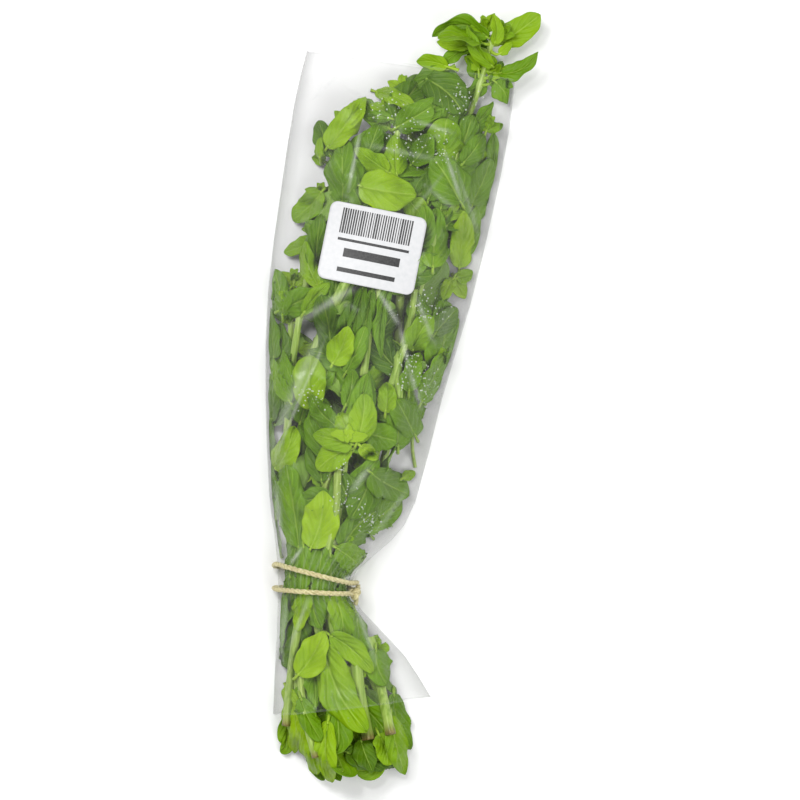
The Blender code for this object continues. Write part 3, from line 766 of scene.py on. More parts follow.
# The leaves that lie on top of the heap, as base, tip, width and tone, from the tips down.
topLeaves = {
    "shoulder": [
        ((7.5, 107), (20, 95), 12, 0.18), ((-9.2, 102.7), (4.1, 97.1), 5, 0.75),
        ((-4, 93), (-12, 93.6), 3.5, 0.4), ((-2, 90), (10, 97), 9, 0.35),
        ((14, 79), (14.5, 93), 12.5, 0.55), ((28.4, 70), (30.3, 88.6), 4.8, 0.45),
        ((23, 64), (29.5, 80), 8, 0.35), ((19.5, 64.5), (10, 80), 12.5, 0.4),
        ((20, 78), (27, 88), 6.5, 0.3), ((-12, 80), (-8, 91), 7, 0.25),
        ((-26, 79), (-30.5, 80.5), 3.5, 0.7),
        ((-27.5, 80), (-27.2, 87), 2.5, 0.7), ((-20.3, 64.5), (-20.5, 87.9), 10, 0.38),
        ((-2, 74), (-2.5, 87.5), 7.5, 0.66), ((-4.8, 75), (-16, 83), 6.5, 0.72),
        ((3, 78), (9, 88), 8, 0.45), ((-26.9, 68.6), (-36.8, 59.4), 8.5, 0.66),
        ((2, 66), (9, 59), 7.5, 0.72), ((-14.5, 70.3), (4.6, 67.3), 13.4, 0.84),
        ((-25.2, 83.4), (-12.3, 100.4), 8.5, 0.85),
    ],
    "besideLabel": [
        ((-29, 42), (-27, 61), 7, 0.3), ((-28, 37), (-32.3, 52), 6, 0.7),
        ((10, 43), (11, 63), 10, 0.5), ((6, 50), (7, 64), 7, 0.5),
        ((22, 48), (24.8, 64), 5.5, 0.5), ((19, 43.5), (20.3, 62.1), 8, 0.9),
        ((17.3, 40), (22, 33.5), 5, 0.88), ((17, 40), (13.5, 32.5), 4.5, 0.8),
        ((18, 40), (24.5, 42), 4.5, 0.7), ((-38, 25), (-42.5, 38.3), 6.5, 0.45),
        ((-41, 29), (-27, 36), 8.5, 0.4), ((-33, 28), (-24, 38), 5, 0.62),
    ],
    "waist": [
        ((-42, 7), (-41, 25), 7.5, 0.22), ((-43, -36), (-42.8, -19), 5.5, 0.3),
        ((-24, 14), (-27, 34), 9, 0.2), ((-20, 18), (-13, 35), 9, 0.15),
        ((-43, 13), (-44.8, 30), 5.5, 0.3),
        ((-44, -8), (-44.8, 8), 5, 0.25), ((-43.5, -22), (-45, -7), 5, 0.3),
        ((-40, 27), (-43, 43), 7, 0.4),
        ((-10, 36), (-14, 12), 4.5, 0.25), ((-4.5, 37), (-7, 13), 4.2, 0.35),
        ((-13, 37), (-20, 16), 4.5, 0.2),
        ((10.4, 21), (18.2, 30), 6.5, 0.25), ((3.2, 15.5), (10, 27), 8.5, 0.62),
        ((2, 2), (6, 15), 6.5, 0.5), ((6.2, -1.5), (14, 15), 7, 0.45),
        ((4.3, -13), (-2.2, -0.5), 9, 0.35), ((-19, 8), (-12.3, 23.6), 5.5, 0.45),
        ((-23.3, 11), (-18, 23.6), 8.6, 0.85), ((-37.3, -1.5), (-43.5, 13.1), 5, 0.6),
        ((-34, 1), (-40, 16), 4.5, 0.5), ((-30.3, -4), (-30.3, 14), 11.2, 0.8),
        ((-22, -9.5), (-30.3, 1), 6.5, 0.35), ((-19.1, -3), (-16.5, 9.5), 5.8, 0.42),
        ((-5.7, -5), (-5.5, 5), 6.4, 0.7), ((-43, -24), (-36.2, -9.4), 8.4, 0.85),
        ((-12, -12), (-2, -14.5), 9.5, 0.42), ((-15.3, -14), (-11.6, 8), 8.4, 0.52),
        ((-16, -15), (-21, -5), 6.5, 0.66), ((-17, -17), (-28.3, -24), 8.4, 0.85),
        ((-16.5, -15.5), (-29.8, -12.2), 7.5, 0.72), ((-15.3, -15), (-12.8, 1.5), 8.8, 0.74),
        ((-14, -16), (-8.4, -20.6), 4.5, 0.85),
    ],
    "aboveTie": [
        ((-42.5, -39), (-44.2, -23), 4.5, 0.3), ((-41.5, -52), (-43.4, -37), 4, 0.35),
        ((-36, -46), (-38.5, -61), 5.5, 0.3), ((-33, -49), (-33.5, -65), 5.5, 0.5),
        ((-27, -48), (-29.5, -64), 6.5, 0.4), ((-19, -51), (-20.5, -65), 6, 0.3),
        ((-14.3, -64), (-9.6, -55), 4, 0.3), ((-24, -52), (-24.5, -66), 5, 0.25),
        ((-41, -41), (-43.3, -26), 3.8, 0.5), ((-34.5, -50.2), (-38.6, -22.5), 10, 0.46),
        ((-20, -50), (-8.5, -37.5), 9.5, 0.3), ((-10, -24.5), (-17.5, -40.5), 10.5, 0.25),
        ((-10.5, -25), (2.3, -32.8), 10.5, 0.36), ((0, -27), (4.6, -25.4), 3.2, 0.72),
        ((-22, -50), (-12, -59.3), 9, 0.56), ((-30.6, -50), (-26.3, -30.8), 11.8, 0.95),
    ],
    "foot": [
        ((-19, -118), (-1, -122), 8, 0.15), ((-14, -114), (-10, -125), 7.4, 0.2),
        ((-3, -99), (2.8, -118), 7.2, 0.4), ((-8, -112), (-5, -122.8), 6.8, 0.72),
        ((-3.9, -106), (0.8, -126.3), 6.8, 0.62), ((-30, -104), (-38, -113), 6.4, 0.5),
        ((-39.2, -97), (-36.2, -119.2), 7.2, 0.9), ((-33, -109), (-28.6, -125.8), 5.8, 0.78),
        ((-24.8, -107.5), (-23.4, -128.4), 7.2, 0.84),
    ],
    "belowTie": [
        ((-37.5, -59), (-38.5, -75), 5.5, 0.35), ((-27, -60), (-26, -75), 6, 0.45),
        ((-19.5, -61), (-17, -77), 6, 0.35),
        ((-30, -64), (-27, -77), 8.4, 0.3), ((-15.5, -71), (-11, -87), 5.4, 0.5),
        ((-22.6, -65.3), (-19.5, -80.8), 8, 0.62), ((-32, -64.6), (-35, -78), 5.8, 0.78),
        ((-39.6, -65.6), (-40.4, -83.3), 4.4, 0.46), ((-9, -84), (-5.3, -96), 8.4, 0.46),
        ((-24.3, -79), (-10, -91.8), 7.4, 0.68), ((-30.3, -86), (-29.2, -103.6), 6.8, 0.5),
        ((-34, -100), (-27, -113.8), 6.2, 0.42), ((-26.8, -81.5), (-11.8, -111.2), 12, 0.72),
        ((-35, -92.5), (-26.3, -77.6), 9.8, 0.95),
    ],
}

# Stems that show at the top of the heap, with their radius and 1 for an end that was cut.
topStems = {
    "waist": [
        ([(-0.8, 34), (-1.6, 18), (-1.3, -2)], 1.3, 0), ([(-18.5, 39), (-25, 26), (-31, 11)], 1.5, 0),
        ([(-7.5, 37), (-11, 22), (-13, 7)], 1.2, 0), ([(4, 36), (2, 22), (-4, 4)], 1.0, 0),
        ([(-21.5, -17), (-22.2, -37), (-26.6, -58)], 1.2, 0), ([(3.4, -11), (3.2, -17), (4.2, -23.5)], 0.55, 0),
    ],
    "belowTie": [
        ([(-17, -74), (-14.5, -97), (-11.4, -114)], 1.8, 1), ([(-11, -80), (-7, -98), (-4, -112)], 1.5, 1),
        ([(-35, -86), (-32.5, -106), (-28.8, -119.5)], 1.1, 1), ([(-35, -76), (-37.5, -94), (-38.8, -109.5)], 1.3, 1),
    ],
}
fill = {
    "tries": 260,
    "length": (15, 25),
    "headroom": 5.5,  # left under the film for the leaves on top
    # the bunch's left and right sides, at heights from the cut ends to the tips
    "sides": [
        (-126, -26, -8), (-120, -35, 1), (-110, -39, 2), (-100, -40, -3), (-90, -40, -6),
        (-80, -40, -13), (-66, -40, -18), (-58, -40, -17), (-50, -41, -11), (-40, -42, -4),
        (-30, -44, 2), (-20, -44, 1), (-10, -45, 4), (0, -45, 7), (12, -44, 13),
        (30, -43, 19), (40, -40, 23), (50, -32, 24), (60, -33, 26), (70, -29, 29),
        (80, -29, 30), (90, -26, 30), (98, -10, 24), (106, 6, 22),
    ],
}


def nearestStem(point):
    return min(stems, key=lambda n: np.linalg.norm((stems[n][0] - point) * (1, 1, 0.5), axis=1).min())


def layLeaf(base, tip, width, headroom):
    # a leaf let down on the heap: it follows what lies below it, smoothed by its own stiffness
    base, tip = np.array(base, float), np.array(tip, float)
    length = float(np.linalg.norm(tip - base))
    t = np.linspace(0, 1, leaf["along"] + 1)
    ahead = (tip - base) / length
    right = np.array([ahead[1], -ahead[0]])
    bow = chance.uniform(-0.09, 0.09) * length
    centre = base + ahead * (t * length)[:, None] + right * (bow * np.sin(math.pi * t))[:, None]
    tangent = unit(np.gradient(centre, axis=0))
    side = np.stack([tangent[:, 1], -tangent[:, 0]], 1)
    u = np.linspace(-1, 1, leaf["across"] + 1)
    reach = wavyReach(t, u, width / 2, chance.uniform(0.5, 0.8))
    flat = centre[:, None] + side[:, None] * (u[None, :] * reach)[..., None]
    i, j = cellsOf(flat[..., 0], flat[..., 1])
    below = np.maximum(heap[i, j], 1.0)
    s = np.broadcast_to(t[:, None], below.shape)
    w = u[None, :] * reach / max(width, 1)
    terms = np.stack([np.ones_like(s), s, s**2, w, w**2], -1).reshape(-1, 5)
    fit = (terms @ np.linalg.lstsq(terms, below.ravel(), rcond=None)[0]).reshape(below.shape)
    height = np.maximum(fit, below + 0.2)
    for _ in range(14):
        wide = np.pad(height, 1, mode="edge")
        height = (wide[:-2, 1:-1] + wide[2:, 1:-1] + wide[1:-1, :-2] + wide[1:-1, 2:]) / 4
    height = height + 0.5 + leaf["fold"] * np.abs(w) ** 1.7 * width * chance.uniform(-0.8, 1.8)
    height += chance.uniform(-0.04, 0.12) * length * s**2 + w * width * chance.uniform(-0.25, 0.25)
    if not headroom:
        # The tie draws the film and the leaves at the neck together.
        drawn = np.exp(-(((flat[..., 1] - tieY) / 9) ** 4)) * (roof[i, j] > 3)
        height = height + drawn * np.maximum(roof[i, j] - press["underTie"] - height, 0)
    ceiling = ceilingOver(flat[..., 0], flat[..., 1]) - headroom
    height = np.clip(np.minimum(height, ceiling), press["table"], None)
    sheet = np.concatenate([flat, height[..., None]], -1)
    return sheet, length


def addLaidLeaf(base, tip, width, tone, headroom=0.0):
    sheet, length = layLeaf(base, tip, width, headroom)
    blade = bladeShape(sheet, length, tone, 1.25)
    foot = sheet[0, leaf["across"] // 2]
    direction = unit(sheet[3, leaf["across"] // 2] - foot)
    n = nearestStem(foot)
    root = foot - direction * 2.0 - (0, 0, 4)
    sprigShapes[n] += [blade, petioleShape(root, foot, direction, tone + 0.2)]
    heapRaise(blade["points"])


def fillLeaves():
    sides = np.array(fill["sides"], float)
    for _ in range(fill["tries"]):
        y = chance.uniform(sides[0, 0], sides[-1, 0])
        left, right = np.interp(y, sides[:, 0], sides[:, 1]), np.interp(y, sides[:, 0], sides[:, 2])
        x = chance.uniform(left, right)
        heading = math.radians(chance.normal(90, 38) if y > -60 else chance.normal(-90, 22))
        length = chance.uniform(*fill["length"])
        tipX, tipY = x + math.cos(heading) * length, y + math.sin(heading) * length
        inY = sides[0, 0] - 1 < tipY < sides[-1, 0] + 4
        tipLeft, tipRight = np.interp(tipY, sides[:, 0], sides[:, 1]), np.interp(tipY, sides[:, 0], sides[:, 2])
        if inY and tipLeft < tipX < tipRight:
            i, j = cellsOf(np.array([x, (x + tipX) / 2, tipX]), np.array([y, (y + tipY) / 2, tipY]))
            if (heap[i, j] < np.maximum(roof[i, j], 12) - fill["headroom"]).all():
                # Leaves under the top layer get tones at random from the darker end: the darker range is painted shade
                # of the heap's depths.
                tone = chance.uniform(0.08, 0.5)
                addLaidLeaf((x, y), (tipX, tipY), length * chance.uniform(0.42, 0.56), tone, fill["headroom"])


def layStem(points, radius, cut):
    # a stem let down on the heap, with its cut end last
    flat = smoothLine([(*point, 0.0) for point in points], 1.0)
    i, j = cellsOf(flat[:, 0], flat[:, 1])
    height = np.convolve(np.pad(heap[i, j], 6, mode="edge"), np.ones(13) / 13, "valid") + radius
    flat[:, 2] = np.minimum(height, ceilingOver(flat[:, 0], flat[:, 1]) - radius)
    flat = flat[::-1]
    along = np.arange(len(flat))
    brown = cut * np.exp(-((along / stemLook["cutLength"]) ** 2))
    points, faces = tubeShape(flat, radius * (1 + 0.12 * brown), stemLook["sides"], stemLook["square"])
    values = np.concatenate([np.repeat(brown, stemLook["sides"]), brown[[0, -1]]])
    heapRaise(points)
    return {"points": points, "faces": faces, "joint": np.zeros(len(points)), "cut": values}


fillLeaves()
upperStems = []
for group, rows in topLeaves.items():
    upperStems += [layStem(*row) for row in topStems.get(group, ())]
    for row in rows:
        addLaidLeaf(*row)
makePiece("upperStems", upperStems, stemMaterial)

# The sprig that reaches out of the sleeve, as base, tip, width, bow, tone and tilt.
tipLeaves = [
    ((28.6, 120, 14), (9.8, 120.5, 10), 7.2, (0, 8.2, 3), 0.45, 0.5),
    ((22, 117.6, 12), (11.4, 119.0, 9), 3.8, (0, -1, 1), 0.72, 0.1),
    ((30.2, 110.5, 13), (21.4, 124.2, 17), 4.8, (-2.5, -2.5, 3), 0.66, 0.5),
    ((30.6, 118, 13), (30.0, 127.8, 14), 4.4, (2.2, 0, 1), 0.76, -0.4),
    ((32, 108.5, 9), (45.2, 115.5, 11), 5.6, (2, -4.5, 0), 0.5, 0.3),
    ((22.4, 116.6, 10), (13, 110.6, 7), 4.6, (-1, 2, 1), 0.4, -0.3),
    ((15, 110.6, 9), (4.6, 112.4, 8), 5.0, (0, 1.5, 1), 0.72, 0.2),
    ((32.4, 114.6, 12), (36.6, 118.6, 12), 2.8, (0, 0, 0.5), 0.84, 0.0),
    ((27.9, 105.8, 8), (20.6, 98.8, 5), 5.2, (0, 1, 1), 0.42, 0.2),
    ((31, 105.8, 8), (36.4, 98.4, 5), 7.2, (1, 0, 1), 0.5, -0.2),
    ((14, 109.4, 8), (2.2, 103, 6), 6.4, (0, 1, 1.5), 0.3, 0.0),
]
for base, tip, width, bow, tone, tilt in tipLeaves:
    blade = freeLeaf(base, tip, width, bow, tone, tilt)
    line = stems[1][0]
    root = line[nearestOnStem(1, np.array(base))]
    direction = unit(np.array(tip, float) + np.array(bow, float) - base)
    if np.linalg.norm(root - base) > 7:
        root = np.array(base) - direction * 4
    sprigShapes[1] += [blade, petioleShape(root, np.array(base, float), direction, tone + 0.2)]
sprigShapes[6] += shootShapes(stems[6][0][-1], (0.05, 0.35, 1), 7.0, 3, 0.8, 0.95)
for n, shapes in sprigShapes.items():
    for shape in shapes:
        heapRaise(shape["points"])
    makePiece(f"sprig{n}Leaves", shapes, leafMaterial)
print("sprigs: leaves laid, heap", round(float(heap.max()), 1), "mm high")

# Film sleeve, let down over the heap.


def makeFilmMaterial():
    material, shader, n = newMaterial("clearFilm", 0.16, Specular_IOR_Level=0.9, IOR=1.5)
    # Creased film is painted near white and made more opaque: painted highlight along the folds.
    foldAndGlint = n.attribute("creaseAndGlint")
    n.tree.links.new(n.mix(foldAndGlint, (0.45, 0.45, 0.45, 1), (0.95, 0.95, 0.95, 1)), shader.inputs["Base Color"])
    clouds = n.noise(28.0, 5.0)
    hair = n.noise(60.0, 5.0, kind="RIDGED_MULTIFRACTAL")
    facing = n.add("ShaderNodeLayerWeight", {"Blend": 0.35}).outputs["Facing"]
    alpha = n.math("MULTIPLY_ADD", n.math("POWER", facing, 2.5), 0.16, 0.021)
    alpha = n.math("ADD", alpha, n.math("MULTIPLY", foldAndGlint, 0.2))
    alpha = n.math("ADD", alpha, n.spread(clouds, 0.45, 0.75, 0.0, 0.02))
    alpha = n.math("ADD", alpha, n.spread(hair, 1.35, 1.9, 0.0, 0.025), clamp=True)
    n.tree.links.new(alpha, shader.inputs["Alpha"])
    n.bump(shader, hair, 0.35, 0.0006)
    return material


def hullAcross(heights):
    # the upper convex line over a row of heights
    kept = []
    for k, z in enumerate(heights):
        while len(kept) > 1:
            (a, za), (b, zb) = kept[-2:]
            if (zb - za) * (k - a) <= (z - za) * (b - a):
                kept.pop()
            else:
                break
        kept.append((k, z))
    places, values = zip(*kept)
    return np.interp(np.arange(len(heights)), places, values)


def spotFields(spots):
    # fold strength, which also sets the painted highlight along the folds, and damp strength at each place on the film
    creaseAndGlint = np.zeros(spots.shape[:2])
    for a, b, strength, width in film["creasesAndGlints"]:
        a, b = np.array(a, float), np.array(b, float)
        share = np.clip(((spots - a) @ (b - a)) / ((b - a) @ (b - a)), 0, 1)
        wander = 0.5 * np.sin(share * 9 + a[0])
        gap = np.linalg.norm(spots - (a + share[..., None] * (b - a)), axis=2)
        fade = np.sin(math.pi * np.clip(share, 0.03, 0.97)) ** 0.5
        creaseAndGlint = np.maximum(creaseAndGlint, strength * fade * np.exp(-(((gap - np.abs(wander) * 0.4) / width) ** 2)))
    damp = np.zeros(spots.shape[:2])
    for place, reach in film["damp"]:
        damp = np.maximum(damp, np.exp(-((np.linalg.norm(spots - place, axis=2) / reach) ** 2) * 1.5))
    return creaseAndGlint, damp


def labelPlane():
    # the label's middle, its own axes and its half sizes, from its solid
    points, _ = cadShape("label")
    flat = points[:, :2]
    middle = (flat.max(0) + flat.min(0)) / 2
    _, _, axes = np.linalg.svd(flat - flat.mean(0), full_matrices=False)
    along = axes[0] * np.sign(axes[0][0])
    across = np.array([-along[1], along[0]])
    sizes = np.array([np.abs((flat - middle) @ axis).max() for axis in (along, across)])
    return middle, along, across, sizes


def bendTerms(x, y):
    return np.stack([np.ones_like(x), x, y, x * x, x * y, y * y], -1)


labelMiddle, labelAlong, labelAcross, labelHalf = labelPlane()


def drapeFilm():
    i, j = cellsOf(spots[..., 0], spots[..., 1])
    thickened = heap.copy()
    for shift in ((0, 1), (0, -1), (1, 0), (-1, 0)):
        thickened = np.maximum(thickened, np.roll(heap, shift, (0, 1)))
    under = np.maximum(thickened[i, j] + film["gap"], floors[:, None] + film["edge"])
    nearTie = np.exp(-(((spots[..., 1] - tieY) / film["tieReach"]) ** 4))
    under = np.maximum(under, nearTie * (roof[i, j] - 0.3))
    under[:, 0] = under[:, -1] = floors + film["edge"]
    bridge = np.array([hullAcross(row) for row in under])
    under = np.maximum(under, film["stiffness"] * bridge + (1 - film["stiffness"]) * under)
    height = under.copy()
    for _ in range(280):
        wide = np.pad(height, 1, mode="edge")
        height = 0.34 * (wide[1:-1, :-2] + wide[1:-1, 2:]) + 0.16 * (wide[:-2, 1:-1] + wide[2:, 1:-1])
        height = np.maximum(height, under)
        height[:, 0] = height[:, -1] = floors + film["edge"]
    creaseAndGlint, damp = spotFields(spots)
    u = np.linspace(0, 1, film["columns"] + 1)[None, :]
    inside = np.sin(math.pi * u) ** 0.4
    gather = np.exp(-(((spots[..., 1] - tieY) / 13) ** 2))
    pleat = np.abs(np.sin(u * math.pi * film["pleats"] + 0.06 * (spots[..., 1] - tieY)))
    height = height + film["pleatHeight"] * gather * inside * pleat
    # The pleat valleys by the tie get the painted highlight too.
    creaseAndGlint = np.maximum(creaseAndGlint, 0.45 * gather * (1 - pleat) ** 3 * inside)
    waves = np.sin(spots[..., 0] * 0.31 + 0.13 * spots[..., 1]) * np.sin(spots[..., 1] * 0.23 - spots[..., 0] * 0.11)
    height = height + inside * (0.25 * np.abs(waves) + 0.3 * creaseAndGlint)
    # The label holds the film smooth.
    across = (spots - labelMiddle) @ labelAlong
    along = (spots - labelMiddle) @ labelAcross
    outside = np.maximum(np.abs(across) - labelHalf[0], np.abs(along) - labelHalf[1])
    covered = outside < 1.0
    terms = bendTerms(across, along)
    bend = np.linalg.lstsq(terms[covered], height[covered], rcond=None)[0]
    plate = terms @ bend
    bend[0] += np.quantile((height - plate)[covered], 0.8)
    plate = terms @ bend
    hold = np.clip(1 - outside / 3, 0, 1) ** 2
    height = height * (1 - hold) + plate * hold
    creaseAndGlint = creaseAndGlint * (1 - hold)
    return height, creaseAndGlint, damp, bend


filmMaterial = makeFilmMaterial()
filmHeight, creaseAndGlint, damp, labelBend = drapeFilm()


def makeFilm():
    rows, columns = filmHeight.shape
    top = np.concatenate([spots, filmHeight[..., None]], -1)
    bottom = top[:, -20:0:-24].copy()
    bottom[..., 2] = floors[:, None] + 0.15
    rings = np.concatenate([top, bottom], 1)
    around = rings.shape[1]
    k, j = np.meshgrid(np.arange(rows - 1), np.arange(around), indexing="ij")
    a, b = k * around + j, k * around + (j + 1) % around
    faces = np.stack([a, b, b + around, a + around], -1).reshape(-1, 4)
    foldAndGlint = np.zeros((rows, around))
    foldAndGlint[:, :columns] = creaseAndGlint
    # The film's side folds and open ends get painted highlight as well.
    foldAndGlint[:, 0] = foldAndGlint[:, columns - 1] = 0.5
    foldAndGlint[[0, -1]] = np.maximum(foldAndGlint[[0, -1]], 0.25)
    piece = makePiece("filmSleeve", [{"points": rings.reshape(-1, 3), "faces": faces, "creaseAndGlint": foldAndGlint.ravel()}],
                      filmMaterial, ["sleeve"])
    solid = piece.modifiers.new("wall", "SOLIDIFY")
    solid.thickness = film["wall"] * mm
    solid.offset = 0


makeFilm()
print("film: draped,", round(float(filmHeight.max()), 1), "mm high")

# Label: bare, with blank bars and plain rules.

label = {
    "corner": 2.6,
    "thick": 0.14,
    "bars": 30,
    "barBlock": (23.2, 8.4),
    "barMiddle": (0.0, 7.2),
    "barWidth": (0.25, 0.66),
    "rules": [((0.2, 1.0), (24.0, 0.9)), ((0.4, -3.2), (19.0, 2.9)), ((-0.4, -9.0), (19.5, 1.5))],
    "inkThick": 0.03,
}


def labelPoint(x, y, lift):
    spot = labelMiddle + np.multiply.outer(x, labelAlong) + np.multiply.outer(y, labelAcross)
    z = bendTerms(np.asarray(x, float), np.asarray(y, float)) @ labelBend + lift
    return np.concatenate([spot, np.asarray(z)[..., None]], -1)


def flatSheet(halfX, halfY, corner, columns, rows):
    x, y = np.meshgrid(np.linspace(-halfX, halfX, columns), np.linspace(-halfY, halfY, rows))
    if corner:
        innerX, innerY = halfX - corner, halfY - corner
        dx = np.sign(x) * np.maximum(np.abs(x) - innerX, 0)
        dy = np.sign(y) * np.maximum(np.abs(y) - innerY, 0)
        inCorner = (dx != 0) & (dy != 0)
        longest = np.maximum(np.abs(dx), np.abs(dy))
        shrink = np.where(inCorner, longest / np.maximum(np.hypot(dx, dy), 1e-9), 1)
        x, y = x - dx + dx * shrink, y - dy + dy * shrink
    return x, y


def slabShape(sheet, thick):
    # a closed slab on a sheet of points
    above, below = sheet + up * thick / 2, sheet - up * thick / 2
    points = np.concatenate([above.reshape(-1, 3), below.reshape(-1, 3)])
    return {"points": points, "faces": slabFaces(*sheet.shape[:2])}


def newTree(name, inputs):
    tree = bpy.data.node_groups.new(name, "GeometryNodeTree")
    tree.interface.new_socket("Geometry", in_out="INPUT", socket_type="NodeSocketGeometry")
    for key, kind, value in inputs:
        tree.interface.new_socket(key, in_out="INPUT", socket_type=kind).default_value = value
    tree.interface.new_socket("Geometry", in_out="OUTPUT", socket_type="NodeSocketGeometry")
    n = Nodes(tree)
    return tree, n, n.add("NodeGroupInput").outputs


def endTree(n, geometry, material):
    real = n.add("GeometryNodeRealizeInstances", {0: geometry}).outputs[0]
    done = n.add("GeometryNodeSetMaterial", {"Geometry": real, "Material": material}).outputs[0]
    n.tree.links.new(done, n.add("NodeGroupOutput").inputs[0])


def grow(name, base, tree, **values):
    # runs a tree on an object's data and gives back the plain mesh that it makes
    carrier = addObject(name + "Carrier", base)
    modifier = carrier.modifiers.new("grow", "NODES")
    modifier.node_group = tree
    for item in tree.interface.items_tree:
        if item.in_out == "INPUT" and item.name in values:
            modifier[item.identifier] = values[item.name]
    graph = bpy.context.evaluated_depsgraph_get()
    mesh = bpy.data.meshes.new_from_object(carrier.evaluated_get(graph))
    bpy.data.objects.remove(carrier)
    mesh.name = name
    return mesh


def barTree(material):
    tree, n, given = newTree("labelBars", [
        ("Count", "NodeSocketInt", 30), ("Length", "NodeSocketFloat", 20.0), ("Height", "NodeSocketFloat", 9.0),
        ("Thin", "NodeSocketFloat", 0.2), ("Wide", "NodeSocketFloat", 0.7), ("Seed", "NodeSocketInt", 3),
    ])
    line = n.add("GeometryNodeMeshLine", {"Count": given["Count"]}, mode="END_POINTS")
    half = n.math("MULTIPLY", given["Length"], 0.5)
    start = n.add("ShaderNodeCombineXYZ", {0: n.math("MULTIPLY", half, -1.0)}).outputs[0]
    n.tree.links.new(start, line.inputs["Start Location"])
    n.tree.links.new(n.add("ShaderNodeCombineXYZ", {0: half}).outputs[0], line.inputs["Offset"])
    size = n.add("ShaderNodeCombineXYZ", {0: 1.0, 1: given["Height"], 2: 1.0}).outputs[0]
    bar = n.add("GeometryNodeMeshCube", {"Size": size, "Vertices X": 2, "Vertices Y": 8, "Vertices Z": 2}).outputs[0]
    width = n.add("FunctionNodeRandomValue", {2: given["Thin"], 3: given["Wide"], "Seed": given["Seed"]}, data_type="FLOAT")
    scale = n.add("ShaderNodeCombineXYZ", {0: width.outputs[1], 1: 1.0, 2: label["inkThick"]}).outputs[0]
    bars = n.add("GeometryNodeInstanceOnPoints", {"Points": line.outputs[0], "Instance": bar, "Scale": scale})
    endTree(n, bars.outputs[0], material)
    return tree


def makeLabel():
    paper, shader, n = newMaterial("labelPaper", 0.45, Specular_IOR_Level=0.35)
    fibre = n.noise(700.0, 4.0)
    white = n.mix(n.spread(fibre, 0.3, 0.7), (0.57, 0.58, 0.59, 1), (0.63, 0.63, 0.64, 1))
    n.tree.links.new(white, shader.inputs["Base Color"])
    n.bump(shader, fibre, 0.15, 0.0001)
    ink, inkShader, m = newMaterial("labelInk", 0.5)
    speckle = m.noise(1500.0, 3.0)
    black = m.mix(m.spread(speckle, 0.3, 0.75), (0.012, 0.012, 0.013, 1), (0.05, 0.05, 0.05, 1))
    m.tree.links.new(black, inkShader.inputs["Base Color"])
    x, y = flatSheet(*labelHalf, label["corner"], 44, 36)
    makePiece("labelSheet", [slabShape(labelPoint(x, y, 0.22), label["thick"])], paper, ["label"])
    block, height = label["barBlock"]
    bars = grow("labelBars", bpy.data.meshes.new("bars"), barTree(ink), Count=label["bars"], Length=block,
                Height=height, Thin=label["barWidth"][0], Wide=label["barWidth"][1], Seed=5)
    lift = 0.22 + label["thick"] / 2
    flat = np.array([tuple(v.co) for v in bars.vertices])
    x, y = flat[:, 0] + label["barMiddle"][0], flat[:, 1] + label["barMiddle"][1]
    placed = labelPoint(x, y, lift + flat[:, 2])
    shapes = [{"points": placed, "faces": [list(p.vertices) for p in bars.polygons]}]
    for (middleX, middleY), (width, tall) in label["rules"]:
        x, y = flatSheet(width / 2, tall / 2, 0, 24, 5)
        shapes.append(slabShape(labelPoint(x + middleX, y + middleY, lift), label["inkThick"]))
    printMesh = makeMesh("labelPrint", shapes, ink, smooth=False)
    finishPiece(addObject("labelPrint", printMesh))


makeLabel()
print("label: bent to the film")

# Twine: three plies twisted along the frame's own route, with a knot and loose fibres.

twine = {"radius": 0.85, "ply": 0.47, "offset": 0.42, "pitch": 6.5, "plies": 3, "fibres": 420, "fibreLength": 1.5}


def makeTwineMaterial():
    material, shader, n = newMaterial("twineFibre", 0.78, Sheen_Weight=0.15)
    streaks = n.noise(1400.0, 4.0)
    wide = n.noise(160.0, 3.0)
    straw = n.mix(n.spread(streaks, 0.3, 0.7), (0.40, 0.35, 0.15, 1), (0.70, 0.65, 0.38, 1))
    straw = n.mix(n.spread(wide, 0.5, 0.8, 0.0, 0.5), straw, (0.42, 0.31, 0.15, 1))
    n.tree.links.new(straw, shader.inputs["Base Color"])
    n.bump(shader, streaks, 0.7, 0.0002)
    return material


def twistTree(material):
    tree, n, given = newTree("twistedCord", [
        ("Ply Radius", "NodeSocketFloat", 0.45), ("Offset", "NodeSocketFloat", 0.4), ("Pitch", "NodeSocketFloat", 6.0),
    ])
    even = n.add("GeometryNodeResampleCurve", {"Curve": given["Geometry"], "Length": 0.35}, mode="LENGTH").outputs[0]
    length = n.add("GeometryNodeSplineParameter").outputs["Length"]
    turn = n.math("DIVIDE", n.math("MULTIPLY", length, 2 * math.pi), given["Pitch"])
    normal = n.add("GeometryNodeInputNormal").outputs[0]
    tangent = n.add("GeometryNodeInputTangent").outputs[0]
    other = n.add("ShaderNodeVectorMath", {0: tangent, 1: normal}, operation="CROSS_PRODUCT").outputs[0]
    circle = n.add("GeometryNodeCurvePrimitiveCircle", {"Resolution": 9, "Radius": given["Ply Radius"]}).outputs[0]
    joined = n.add("GeometryNodeJoinGeometry")
    for k in range(twine["plies"]):
        angle = n.math("ADD", turn, 2 * math.pi * k / twine["plies"])
        a = n.add("ShaderNodeVectorMath", {0: normal, "Scale": n.math("COSINE", angle)}, operation="SCALE").outputs[0]
        b = n.add("ShaderNodeVectorMath", {0: other, "Scale": n.math("SINE", angle)}, operation="SCALE").outputs[0]
        way = n.add("ShaderNodeVectorMath", {0: a, 1: b}, operation="ADD").outputs[0]
        shift = n.add("ShaderNodeVectorMath", {0: way, "Scale": given["Offset"]}, operation="SCALE").outputs[0]
        moved = n.add("GeometryNodeSetPosition", {"Geometry": even, "Offset": shift}).outputs[0]
        ply = n.add("GeometryNodeCurveToMesh", {"Curve": moved, "Profile Curve": circle, "Fill Caps": True}).outputs[0]
        n.tree.links.new(ply, joined.inputs[0])
    endTree(n, joined.outputs[0], material)
    return tree


